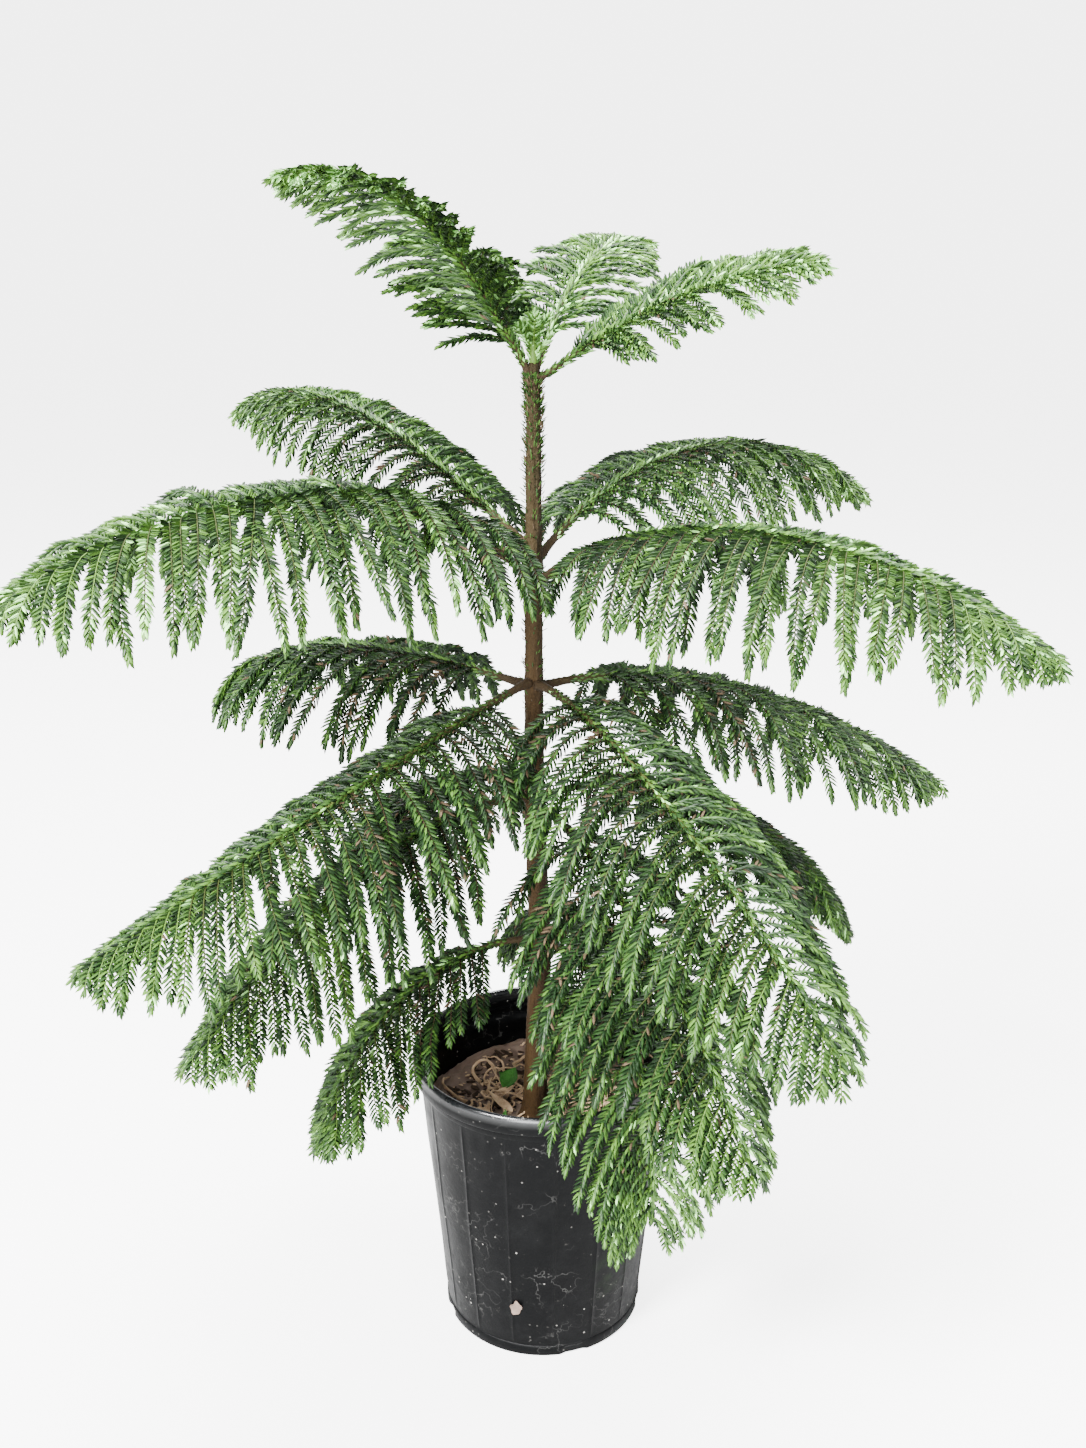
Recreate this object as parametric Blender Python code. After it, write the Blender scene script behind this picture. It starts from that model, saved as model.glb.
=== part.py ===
"""A young Norfolk Island pine in a black nursery pot.

Frame: metres, +Z up, origin at the centre of the pot's flat underside, +Y away from the
side it is mostly seen from.

The trunk stands in the potting mix and runs whole to its tip. Five whorls of four boughs
leave it. Each bough is one arching axis: a bare tapering limb, then a stem that goes on from
the limb's tip and carries two ranks of drooping branchlets, fused to it, down to the bough's
tip. The limb is one solid. The stem with its branchlets is another, 0.3 mm clear of it.
"""

import math
import random
from dataclasses import dataclass

import bmesh
import bpy
from mathutils import Vector
from mathutils.bvhtree import BVHTree

# ---------------------------------------------------------------- driving dimensions (metres)

GAP = 0.0003                  # between solids that touch on the real plant

POT_HEIGHT = 0.293
POT_FOOT_RADIUS = 0.1015
POT_WALL_TOP_RADIUS = 0.1240  # outside of the wall, just under the rim band
POT_RIM_RADIUS = 0.1325
POT_WALL = 0.0025
POT_FLOOR = 0.004
POT_FOOT_BAND = 0.012         # height of the band round the foot
POT_FOOT_STEP = 0.0009        # how far that band stands out
POT_BAND_LOW = 0.2745         # underside of the rim band
POT_COLLAR_LOW = 0.2640       # underside of the collar below it
POT_COLLAR_STEP = 0.0014
POT_EDGE = 0.0008             # bevel of the pot's small steps
POT_FOOT_ROUND = 0.0015       # bevel under the foot band
POT_ROLL = 0.0040             # rounding of the rim's outer edge
POT_LIP = 0.0062              # breadth of the rolled lip
POT_LIP_FALL = 0.0014         # from the lip's crest to its inner edge
POT_THROAT_HIGH = 0.0085      # from the rim's top down to where the throat starts
POT_THROAT_STEP = 0.0030      # how far the throat stands out over the wall's inside
POT_SIDES = 40

SOIL_TOP = 0.235
SOIL_CLEAR = 0.0006           # from the pot's wall and floor
SOIL_SWELL = 0.005            # height of the lumps away from the trunk
SOIL_FLAT = 0.024             # round the trunk the mix is flat to this radius,
SOIL_EASE = 0.050             # and over this much more the lumps grow to their full height
SOIL_WAVES = (61, 53, 97, 71)  # of the lumps, in radians per metre
SOIL_RINGS = (0.97, 0.8, 0.6, 0.4, 0.2)
SOIL_SIDES = 24

TRUNK_FOOT = Vector((-0.0085, -0.035))
TRUNK_TIP_X = -0.0085
TRUNK_TIP_HEIGHT = 0.966
TRUNK_SWAY = 0.0055           # sideways bow in the lower trunk
TRUNK_SWAY_AT = 0.24          # where it is, as a share of the trunk's height
TRUNK_SWAY_SPAN = 0.15
TRUNK_FOOT_RADIUS = 0.0118
TRUNK_TIP_RADIUS = 0.0062
TRUNK_FLARE = 0.0030          # extra radius at the flat cut, where the roots spread
TRUNK_FLARE_HEIGHT = 0.0117   # over which the flare falls to a third
TRUNK_TAPER = 1.15            # above 1 the trunk keeps its thickness longer
TRUNK_LEAN = 1.3              # above 1 it leans back early
TRUNK_DOME = 0.012            # the last stretch, over which the tip rounds off
TRUNK_DOME_DEPTH = 0.68       # share of the tip's cross section that the dome takes away
TRUNK_CROWDING = 1.35         # above 1 its rings crowd towards the foot
TRUNK_RINGS = 14
TRUNK_SIDES = 16

LIMB_SIDES = 6
LIMB_RINGS = 4
LIMB_TAPER = 0.78             # limb's radius at its tip over that at the trunk
LIMB_COLLAR = 1.12            # the heel's swelling over the limb's radius
LIMB_HEEL = 0.009             # length over which a limb goes from its heel to a round section
LIMB_SEAT = 0.00045           # from the limb's heel to the trunk's surface
AXIS_NODES = 24               # straight runs in a bough's axis
STEM_STEP = 2                 # axis nodes between two rings of a stem
STEM_SIDES = 3
STEM_FULLNESS = 1.15          # a three-sided stem's corner radius over the round one's
STEM_TIP_RADIUS = 0.0013

SPRAY_HALF_WIDTH = 0.0165     # from a branchlet's middle to the tip of a tooth, at most
SPRAY_FILL = 0.37             # the same as a share of the room that a branchlet has
SPRAY_JITTER = 0.06           # how far a branchlet strays along the axis, as a share
SPRAY_FIRST = 0.012           # from the limb's tip to the first branchlet
SPRAY_LAST = 0.016            # from the last branchlet to the bough's tip
SPRAY_LENGTHS = (0.88, 1.08)  # spread of their lengths
SPRAY_SPLAY_STRAY = 3.0       # spread of their splay angles, in degrees either way
SPRAY_HANG_STRAY = 5.0        # spread of their hang angles
SPRAY_SLENDER = 0.28          # widest half width, as a share of the length
SPRAY_RIB = 0.0019            # half width of its solid middle
SPRAY_KEEL = 0.0024           # depth of its solid middle
SPRAY_NECK = 0.36             # its half width at the root, as a share of the stem's radius
SPRAY_BEND_AT = 0.42          # the share of its length at which the solid bends
SPRAY_DROOP = 0.65            # below 1 a branchlet droops early along its length
SPLAY_POWER = 4.0             # how late along the bough the branchlets turn forward
SPRAY_STEPS = 12
INNER_SPAN = 0.4              # share of the bough over which they grow to full length
TIP_SPRAY_LENGTH = 0.042
TIP_SPRAY_SINK = 0.026
TIP_SPRAY_HALF_WIDTH = 0.010
SHORTER = (1.0, 0.75, 0.5)    # lengths that are tried before a branchlet is left out
SWELL = 0.0012                # a branchlet is tried this much fatter than it is
FLOOR_CLEAR = 0.004

LEADER_HEIGHT = 0.028
LEADER_RADIUS = 0.0042
LEADER_SPRAYS = 5
LEADER_SPRAY_LENGTH = 0.034
LEADER_SPRAY_RISE = 52.0
LEADER_HALF_WIDTH = 0.0065

SEED = 1105


@dataclass(frozen=True)
class Whorl:
    """One tier of boughs. Angles are in degrees, lengths in metres."""

    limb_radius: float     # of a limb at the trunk
    bare: float            # share of the bough's length with no branchlets
    branchlet: float       # length of its longest branchlets
    spacing: float         # between them, along a rank
    splay: float           # between a branchlet's start and the bough's axis
    splay_tip: float       # the same at the bough's tip
    lift: float            # branchlet's start above the plane of axis and side
    hang: float            # branchlet's tip below that plane


@dataclass(frozen=True)
class Bough:
    """One bough's axis. Angles are in degrees, lengths in metres."""

    name: str
    azimuth: float         # direction halfway along, from +X towards +Y
    swing: float           # how far the direction turns from heel to tip
    height: float          # of its heel on the trunk
    length: float
    rise: float            # slope at the heel, above level
    droop: float           # slope at the tip, above level
    curve: float           # below 1 it bends early, above 1 late
    tail: float = 0.25     # length of the branchlets at its tip, as a share of the longest
    fade: float = 3.0      # how sharply the branchlets shorten towards the tip
    reach: float = 1.0     # length of its longest branchlets, over the whorl's
    loft: float = 1.0      # how high its branchlets start, over the whorl's lift
    inner: float = 0.6     # length of its innermost branchlets, as a share of the longest
    roll: float = 0.0      # its two ranks' turn about the axis, right-hand rank down


WHORLS = {
    "tier1": Whorl(0.0031, 0.11, 0.100, 0.036, 58, 30, 8, 32),
    "tier2": Whorl(0.0047, 0.10, 0.165, 0.050, 84, 38, 30, 74),
    "tier3": Whorl(0.0047, 0.11, 0.160, 0.050, 82, 38, 28, 76),
    "tier4": Whorl(0.0043, 0.15, 0.152, 0.048, 80, 38, 22, 78),
    "tier5": Whorl(0.0038, 0.13, 0.132, 0.044, 76, 38, 12, 80),
}

BOUGHS = {
    "tier1": (
        Bough("front_left", 213, 8, 0.959, 0.294, 58, -16, 2.0, 0.12, 2.5, 1.08, 0.5, 0.7, 7),
        Bough("right", -10, 2, 0.953, 0.260, 34, 4, 1.5, 0.15, 3.0, 0.95, 3.5, 0.6, 23),
        Bough("back_right", 64, 7, 0.960, 0.252, 55, -2, 1.1, 0.15, 3.0, 0.82, 3.0, 0.7, 8),
        Bough("back_left", 136, -6, 0.959, 0.178, 56, 24, 1.2),
    ),
    "tier2": (
        Bough("front_left", 213, -10, 0.777, 0.482, 55, -26, 0.60, 0.22, 4.0, 1.22, 1.5),
        Bough("back_left", 139, -17, 0.806, 0.450, 34, -28, 1.85, 0.12, 2.0, 0.85, 1.3),
        Bough("front_right", -32, 16, 0.775, 0.490, 39, -33, 0.78, 0.12, 3.5, 1.0, 0.8, 0.42),
        Bough("back_right", 37, -17, 0.795, 0.473, 39, -34, 1.0, 0.12, 2.5),
    ),
    "tier3": (
        Bough("back_left", 146, -24, 0.677, 0.406, 10, -39, 1.54, 0.12),
        Bough("front_left", 215, -35, 0.681, 0.470, -5, -30, 0.6, 0.20, 3.5, 1.0, 0.6),
        Bough("back_right", 19, -5, 0.675, 0.478, 14, -36, 0.55, 0.15),
        Bough("front_right", -53, 15, 0.679, 0.458, 9, -47, 0.5, 0.20, 4.0),
    ),
    "tier4": (
        Bough("front_left", 210, 5, 0.568, 0.405, 22, -50, 0.42, 0.15, 3.0),
        Bough("back_right", 25, -4, 0.568, 0.445, 10, -63, 0.84, 0.20),
        Bough("front_right", -58, 11, 0.560, 0.412, 15, -58, 0.55, 0.15, 3.5),
        Bough("back_left", 124, -8, 0.570, 0.372, 8, -52, 0.7),
    ),
    "tier5": (
        Bough("left", 204, 14, 0.426, 0.308, 10, -76, 0.74, 0.12, 3.0, 0.95, 1.0, 0.35),
        Bough("front", -64, -18, 0.424, 0.329, 16, -105, 0.96, 0.40, 4.0, 1.0, 1.0, 0.40),
        Bough("right", 4, -20, 0.423, 0.253, 28, -83, 0.64),
        Bough("back", 78, 10, 0.428, 0.250, 16, -70, 0.7),
    ),
}

FINISHES = {
    "pot": ((0.012, 0.013, 0.014), 0.42),
    "soil": ((0.050, 0.030, 0.018), 0.95),
    "bark": ((0.150, 0.085, 0.050), 0.85),
    "limb": ((0.090, 0.095, 0.035), 0.75),
    "needles_young": ((0.110, 0.330, 0.060), 0.50),
    "needles": ((0.035, 0.170, 0.060), 0.50),
}


# ---------------------------------------------------------------------------- small helpers

def material(name):
    """The material of one of FINISHES, made once."""
    if name in bpy.data.materials:
        return bpy.data.materials[name]
    colour, roughness = FINISHES[name]
    made = bpy.data.materials.new(name)
    made.use_nodes = True
    shader = made.node_tree.nodes["Principled BSDF"]
    shader.inputs["Base Color"].default_value = (*colour, 1.0)
    shader.inputs["Roughness"].default_value = roughness
    made.diffuse_color = (*colour, 1.0)
    return made


def add_object(name, mesh, finish, smooth_under=None):
    """Puts a mesh in the scene as one named object."""
    thing = bpy.data.objects.new(name, mesh)
    bpy.context.scene.collection.objects.link(thing)
    mesh.materials.append(material(finish))
    if smooth_under is not None:
        mesh.shade_smooth()
        mesh.set_sharp_from_angle(angle=math.radians(smooth_under))
    return thing


def mesh_from(name, vertices, faces):
    """A mesh with its faces turned outwards."""
    mesh = bpy.data.meshes.new(name)
    mesh.from_pydata([tuple(v) for v in vertices], [], faces)
    shape = bmesh.new()
    shape.from_mesh(mesh)
    bmesh.ops.recalc_face_normals(shape, faces=shape.faces)
    shape.to_mesh(mesh)
    shape.free()
    return mesh


def loft(rings):
    """Vertices and faces of a closed solid through rings of equal count, with flat ends."""
    count = len(rings[0])
    vertices = [v for ring in rings for v in ring]
    faces = [tuple(range(count)), tuple(range(len(vertices) - count, len(vertices)))]
    for low in range(0, len(vertices) - count, count):
        for i in range(count):
            j = (i + 1) % count
            faces.append((low + i, low + j, low + count + j, low + count + i))
    return vertices, faces


def slope_vector(azimuth, slope):
    """Unit vector at an azimuth and a slope above level, in degrees."""
    a, s = math.radians(azimuth), math.radians(slope)
    return Vector((math.cos(s) * math.cos(a), math.cos(s) * math.sin(a), math.sin(s)))


# ------------------------------------------------------------------------------ pot and soil

def pot_wall_radius(z):
    """Outer radius of the pot's plain wall at a height."""
    share = (z - POT_FOOT_BAND) / (POT_COLLAR_LOW - POT_FOOT_BAND)
    return POT_FOOT_RADIUS + (POT_WALL_TOP_RADIUS - POT_FOOT_RADIUS) * share


def spun(name, profile, sides):
    """A mesh turned round Z from (radius, height) points that start and end on the axis."""
    shape = bmesh.new()
    line = [shape.verts.new((r, 0.0, z)) for r, z in profile]
    edges = [shape.edges.new(pair) for pair in zip(line, line[1:])]
    bmesh.ops.spin(shape, geom=line + edges, cent=(0, 0, 0), axis=(0, 0, 1),
                   angle=math.tau, steps=sides, use_merge=True)
    bmesh.ops.remove_doubles(shape, verts=shape.verts, dist=1e-6)
    bmesh.ops.recalc_face_normals(shape, faces=shape.faces)
    mesh = bpy.data.meshes.new(name)
    shape.to_mesh(mesh)
    shape.free()
    return mesh


def build_pot():
    """The nursery pot: foot band, tapered wall, collar, rolled rim band and stepped throat."""
    foot_top = pot_wall_radius(POT_FOOT_BAND)
    collar = pot_wall_radius(POT_COLLAR_LOW)
    throat = collar - POT_WALL
    profile = [
        (0.0, 0.0),
        (POT_FOOT_RADIUS - POT_FOOT_ROUND, 0.0),
        (foot_top + POT_FOOT_STEP, POT_FOOT_ROUND),
        (foot_top + POT_FOOT_STEP, POT_FOOT_BAND),
        (foot_top, POT_FOOT_BAND + POT_EDGE),
        (collar, POT_COLLAR_LOW),
        (collar + POT_COLLAR_STEP, POT_COLLAR_LOW + POT_EDGE),
        (collar + POT_COLLAR_STEP + POT_EDGE, POT_BAND_LOW),
        (POT_RIM_RADIUS - POT_EDGE, POT_BAND_LOW + POT_EDGE),
        (POT_RIM_RADIUS, POT_HEIGHT - POT_ROLL),
        (POT_RIM_RADIUS - 0.4 * POT_ROLL, POT_HEIGHT - POT_EDGE),
        (POT_RIM_RADIUS - POT_ROLL, POT_HEIGHT),
        (POT_RIM_RADIUS - POT_LIP, POT_HEIGHT - POT_LIP_FALL),
        (throat + POT_THROAT_STEP + POT_EDGE, POT_HEIGHT - POT_THROAT_HIGH),
        (throat + POT_THROAT_STEP, POT_COLLAR_LOW + POT_THROAT_STEP),
        (throat, POT_COLLAR_LOW - POT_EDGE),
        (foot_top - POT_WALL, POT_FLOOR),
        (0.0, POT_FLOOR),
    ]
    return add_object("nursery_pot", spun("nursery_pot", profile, POT_SIDES), "pot", 32)


def soil_height(x, y):
    """The potting mix: flat at the trunk's foot, gently lumpy away from it."""
    away = math.dist((x, y), TRUNK_FOOT)
    share = min(1.0, max(0.0, (away - SOIL_FLAT) / SOIL_EASE))
    first, second, third, fourth = SOIL_WAVES
    lumps = math.sin(first * x + 1.3) * math.cos(second * y - 0.6)
    lumps += 0.5 * math.sin(third * x - fourth * y)
    return SOIL_TOP + share * SOIL_SWELL * (lumps / 1.5 - 0.35)


def build_soil():
    """The potting mix that fills the pot, SOIL_CLEAR from it, with a lumpy top."""
    floor_radius = pot_wall_radius(POT_FLOOR) - POT_WALL - SOIL_CLEAR
    low, high = POT_FLOOR + SOIL_CLEAR, SOIL_TOP - SOIL_SWELL
    top_radius = pot_wall_radius(high) - POT_WALL - SOIL_CLEAR

    def ring(radius, height_of):
        turn = [math.tau * i / SOIL_SIDES for i in range(SOIL_SIDES)]
        flat = [(radius * math.cos(a), radius * math.sin(a)) for a in turn]
        return [Vector((x, y, height_of(x, y))) for x, y in flat]

    rings = [ring(floor_radius - SOIL_CLEAR, lambda x, y: low),
             ring(top_radius, lambda x, y: soil_height(x, y) - SOIL_CLEAR)]
    rings += [ring(top_radius * share, soil_height) for share in SOIL_RINGS]
    vertices, faces = loft(rings)
    centre = len(vertices)
    vertices.append(Vector((0, 0, soil_height(0, 0))))
    last = centre - SOIL_SIDES
    faces.pop(1)
    faces += [(last + i, last + (i + 1) % SOIL_SIDES, centre) for i in range(SOIL_SIDES)]
    return add_object("potting_mix", mesh_from("potting_mix", vertices, faces), "soil")


# -------------------------------------------------------------------------------------- trunk

def trunk_centre(z):
    """Middle of the trunk at a height: it leans back to the pot's middle with one soft bow."""
    share = (z - SOIL_TOP) / (TRUNK_TIP_HEIGHT - SOIL_TOP)
    bow = TRUNK_SWAY * math.exp(-((share - TRUNK_SWAY_AT) / TRUNK_SWAY_SPAN) ** 2)
    x = TRUNK_FOOT.x + (TRUNK_TIP_X - TRUNK_FOOT.x) * share + bow
    return Vector((x, TRUNK_FOOT.y * max(0.0, 1 - share) ** TRUNK_LEAN, z))


def trunk_radius(z):
    """Radius of the trunk at a height, with the root flare at its foot."""
    share = (z - SOIL_TOP) / (TRUNK_TIP_HEIGHT - SOIL_TOP)
    plain = TRUNK_FOOT_RADIUS + (TRUNK_TIP_RADIUS - TRUNK_FOOT_RADIUS) * share ** TRUNK_TAPER
    into_dome = max(0.0, z - (TRUNK_TIP_HEIGHT - TRUNK_DOME)) / TRUNK_DOME
    dome = math.sqrt(1 - TRUNK_DOME_DEPTH * into_dome ** 2)
    return plain * dome + TRUNK_FLARE * math.exp(-(z - SOIL_TOP) / TRUNK_FLARE_HEIGHT)


def build_trunk():
    """The whole trunk, from its flat cut on the potting mix to its tip."""
    rings = []
    foot = SOIL_TOP + GAP
    dome_foot = TRUNK_TIP_HEIGHT - TRUNK_DOME
    shares = [(k / TRUNK_RINGS) ** TRUNK_CROWDING for k in range(TRUNK_RINGS + 1)]
    heights = [foot + (dome_foot - foot) * share for share in shares]
    heights += [dome_foot + TRUNK_DOME * share for share in (0.4, 0.75, 1.0)]
    for z in heights:
        middle, radius = trunk_centre(z), trunk_radius(z)
        turn = [math.tau * i / TRUNK_SIDES for i in range(TRUNK_SIDES)]
        rings.append([middle + radius * Vector((math.cos(a), math.sin(a), 0)) for a in turn])
    vertices, faces = loft(rings)
    add_object("trunk", mesh_from("trunk", vertices, faces), "bark", 40)
    return vertices, faces


# ------------------------------------------------------------------------------------- boughs

class Axis:
    """A bough's middle line: straight runs whose slope and direction follow the bough's rule."""

    def __init__(self, bough):
        self.length = bough.length
        step = bough.length / AXIS_NODES
        outward = slope_vector(bough.azimuth - bough.swing / 2, 0)
        self.points = [trunk_centre(bough.height) + trunk_radius(bough.height) * outward]
        for k in range(AXIS_NODES):
            u = (k + 0.5) / AXIS_NODES
            slope = bough.rise + (bough.droop - bough.rise) * u ** bough.curve
            azimuth = bough.azimuth + bough.swing * (u - 0.5)
            self.points.append(self.points[-1] + step * slope_vector(azimuth, slope))

    def place(self, u):
        """The point at a share u of the length."""
        k = min(int(u * AXIS_NODES), AXIS_NODES - 1)
        return self.points[k].lerp(self.points[k + 1], u * AXIS_NODES - k)

    def heading(self, u):
        """Unit vector along the axis at u, eased over the runs beside it."""
        span = 1.0 / AXIS_NODES
        ahead, behind = self.place(min(1.0, u + span)), self.place(max(0.0, u - span))
        return (ahead - behind).normalized()


def round_ring(middle, along, radius, sides):
    """A ring square to a direction, its first point straight above the middle."""
    side = along.cross(Vector((0, 0, 1))).normalized()
    up = side.cross(along)
    turn = [math.tau * i / sides for i in range(sides)]
    return [middle + radius * (math.cos(a) * up + math.sin(a) * side) for a in turn]


def limb_shape(bough, whorl, axis):
    """The bare limb: its flat heel stands along the trunk's side, its tip is a square cut."""
    outward = slope_vector(bough.azimuth - bough.swing / 2, 0)
    across = outward.cross(Vector((0, 0, 1)))
    heel_radius = whorl.limb_radius * LIMB_COLLAR
    heel = []
    for i in range(LIMB_SIDES):
        a = math.tau * i / LIMB_SIDES
        z = bough.height + heel_radius * math.cos(a)
        sideways = heel_radius * math.sin(a)
        reach = trunk_radius(z) + LIMB_SEAT
        heel.append(trunk_centre(z) + reach * outward + sideways * across)
    rings = [heel]
    start = LIMB_HEEL / bough.length
    for k in range(LIMB_RINGS):
        u = start + (whorl.bare - start) * k / (LIMB_RINGS - 1)
        radius = whorl.limb_radius * (1 + (LIMB_TAPER - 1) * u / whorl.bare)
        rings.append(round_ring(axis.place(u), axis.heading(u), radius, LIMB_SIDES))
    return loft(rings)


def stem_radius(whorl, u):
    """Corner radius of a bough's three-sided stem at a share u of the bough."""
    first = whorl.limb_radius * LIMB_TAPER
    share = max(0.0, (u - whorl.bare) / (1 - whorl.bare))
    return STEM_FULLNESS * (first + (STEM_TIP_RADIUS - first) * share ** 0.8)


def stem_shape(whorl, axis):
    """The stem that goes on from the limb's tip, three-sided, to the bough's tip."""
    start = whorl.bare + GAP / axis.length
    nodes = [k / AXIS_NODES for k in range(STEM_STEP, AXIS_NODES + 1, STEM_STEP)]
    shares = [start] + [u for u in nodes if u > start + 0.4 / AXIS_NODES]
    rings = []
    for u in shares:
        middle, way = axis.place(u), axis.heading(u)
        rings.append(round_ring(middle, way, stem_radius(whorl, u), STEM_SIDES))
    return loft(rings)


# --------------------------------------------------------------------------------- branchlets

def branchlet_line(start, axis_way, side, splay, lift, hang, length):
    """Points along a branchlet. It leaves the axis at the splay angle, a little up, and its
    slope then falls to the hang angle, fast at first, as gravity takes it."""
    s = math.radians(splay)
    out = axis_way * math.cos(s) + side * math.sin(s)
    points = [start]
    for k in range(SPRAY_STEPS):
        t = (k + 0.5) / SPRAY_STEPS
        tip = math.radians(lift - (lift + hang) * t ** SPRAY_DROOP)
        way = (out * math.cos(tip) + Vector((0, 0, 1)) * math.sin(tip)).normalized()
        points.append(points[-1] + way * length / SPRAY_STEPS)
    return points


def spray_shape(root, bend, tip, across, half_width, stem_radius, swell=0.0):
    """A toothed blade that stands for a spray of needles.

    A three-sided rib runs from a neck in the stem to the bend and tapers to the tip, with one
    forward tooth on each side of each half."""
    way = ((bend - root).normalized() + (tip - bend).normalized()).normalized()
    across = (across - way * across.dot(way)).normalized()
    keel = way.cross(across)
    if keel.z > 0:
        keel = -keel
    rib, deep, wide = SPRAY_RIB + swell, SPRAY_KEEL + swell, half_width + swell

    def section(middle, share):
        top = middle - keel * deep * 0.35 * share
        return [top - across * rib * share, top + across * rib * share,
                middle + keel * deep * share]

    def teeth(start, end, share):
        middle = start.lerp(end, 0.86)
        return [middle - across * wide * share, middle + across * wide * share]

    end = tip + way * swell
    vertices = section(root, SPRAY_NECK * stem_radius / SPRAY_RIB) + section(bend, 0.85)
    vertices += teeth(root, bend, 1.0) + teeth(bend, tip, 0.8) + [end]
    # 0-2 root section, 3-5 bend section, 6-7 teeth before the bend, 8-9 teeth after it, 10 tip
    faces = [(0, 1, 2),
             (0, 1, 7), (0, 7, 6), (6, 7, 4), (6, 4, 3),
             (0, 6, 2), (2, 6, 5), (6, 3, 5),
             (1, 7, 2), (2, 7, 5), (7, 4, 5),
             (3, 8, 10), (3, 10, 4), (4, 10, 9),
             (3, 5, 8), (8, 5, 10), (4, 9, 5), (5, 9, 10)]
    return vertices, faces


class Clearance:
    """Which solids are already in place, so that no twig of one node touches another."""

    def __init__(self):
        self.trees = {}

    def add(self, owner, shape):
        """Notes a shape that belongs to a node."""
        self.trees.setdefault(owner, []).append(BVHTree.FromPolygons(*shape))

    def free(self, owner, shape):
        """True where a shape crosses nothing that belongs to another node."""
        if min(v.z for v in shape[0]) < FLOOR_CLEAR:
            return False
        tree = BVHTree.FromPolygons(*shape)
        others = (t for name, trees in self.trees.items() if name != owner for t in trees)
        return not any(tree.overlap(other) for other in others)


def fade(bough, u):
    """Length of a branchlet at u as a share of the longest: it grows from the limb outwards,
    then fades to the tail."""
    inner = bough.inner + (1 - bough.inner) * min(1.0, u / INNER_SPAN)
    return inner * (1 - (1 - bough.tail) * u ** bough.fade)


def rolled_side(way, roll):
    """Unit vector square to the axis: level and to its right, then turned down by the roll."""
    side = way.cross(Vector((0, 0, 1))).normalized()
    turn = math.radians(roll)
    return side * math.cos(turn) - side.cross(way) * math.sin(turn)


def grow_sprays(owner, whorl, bough, axis, chance, clearance):
    """The two ranks of branchlets and the tip spray of one bough, each clear of other nodes."""
    first = whorl.bare + SPRAY_FIRST / axis.length
    last = 1 - SPRAY_LAST / axis.length
    count = max(3, round((last - first) * axis.length / whorl.spacing))
    shapes = []
    for rank in (-1, 1):
        for k in range(count + 1):
            u = first + (last - first) * (k + 0.25 + 0.25 * rank) / (count + 0.5)
            u += chance.uniform(-SPRAY_JITTER, SPRAY_JITTER) * whorl.spacing / axis.length
            longest = whorl.branchlet * bough.reach * fade(bough, u)
            longest *= chance.uniform(*SPRAY_LENGTHS)
            splay = whorl.splay + (whorl.splay_tip - whorl.splay) * u ** SPLAY_POWER
            splay += chance.uniform(-SPRAY_SPLAY_STRAY, SPRAY_SPLAY_STRAY)
            hang = whorl.hang + chance.uniform(-SPRAY_HANG_STRAY, SPRAY_HANG_STRAY)
            lift = whorl.lift * bough.loft
            way = axis.heading(u)
            side = rolled_side(way, bough.roll) * rank
            room = whorl.spacing * math.sin(math.radians(splay))
            for shorter in SHORTER:
                length = longest * shorter
                line = branchlet_line(axis.place(u), way, side, splay, lift, hang, length)
                bend = line[round(SPRAY_BEND_AT * SPRAY_STEPS)]
                wide = min(SPRAY_HALF_WIDTH, SPRAY_FILL * room, SPRAY_SLENDER * length)
                spray = (line[0], bend, line[-1], way, wide, stem_radius(whorl, u))
                if clearance.free(owner, spray_shape(*spray, swell=SWELL)):
                    shapes.append(spray_shape(*spray))
                    break
    way = axis.heading(1.0)
    root = axis.place(1.0) - way * TIP_SPRAY_SINK
    side = way.cross(Vector((0, 0, 1))).normalized()
    tip = root + way * TIP_SPRAY_LENGTH
    bend = root.lerp(tip, 0.45)
    shapes.append(spray_shape(root, bend, tip, side, TIP_SPRAY_HALF_WIDTH, STEM_TIP_RADIUS))
    return shapes


def fused(name, stem, sprays, finish):
    """One solid made of a stem and its sprays, by one Boolean union on a collection.

    The solver is the one for closed meshes: the exact one leaves open edges here."""
    thing = add_object(name, mesh_from(name, *stem), finish)
    twigs = bpy.data.collections.new(name + "_twigs")
    bpy.context.scene.collection.children.link(twigs)
    for k, shape in enumerate(sprays):
        twig = bpy.data.objects.new(f"{name}_twig{k}", mesh_from(f"{name}_twig{k}", *shape))
        twigs.objects.link(twig)
    union = thing.modifiers.new("union", "BOOLEAN")
    union.operation = "UNION"
    union.operand_type = "COLLECTION"
    union.collection = twigs
    union.solver = "MANIFOLD"
    view = bpy.context.evaluated_depsgraph_get()
    joined = bpy.data.meshes.new_from_object(thing.evaluated_get(view))
    thing.modifiers.clear()
    thing.data = joined
    for twig in list(twigs.objects):
        bpy.data.objects.remove(twig, do_unlink=True)
    bpy.data.collections.remove(twigs)
    return thing


def build_boughs(clearance):
    """Every limb and every mass of branchlets, tier by tier."""
    plans = []
    for tier, boughs in BOUGHS.items():
        for bough in boughs:
            whorl, axis = WHORLS[tier], Axis(bough)
            name = f"{tier}_{bough.name}"
            limb, stem = limb_shape(bough, whorl, axis), stem_shape(whorl, axis)
            add_object(f"{name}_limb", mesh_from(f"{name}_limb", *limb), "limb", 40)
            clearance.add(f"{name}_limb", limb)
            clearance.add(f"{name}_foliage", stem)
            plans.append((name, whorl, bough, axis, stem))
    for number, (name, whorl, bough, axis, stem) in enumerate(plans):
        owner = f"{name}_foliage"
        chance = random.Random(SEED + number)
        sprays = grow_sprays(owner, whorl, bough, axis, chance, clearance)
        for shape in sprays:
            clearance.add(owner, shape)
        fused(owner, stem, sprays, "needles_young" if name.startswith("tier1") else "needles")


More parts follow.
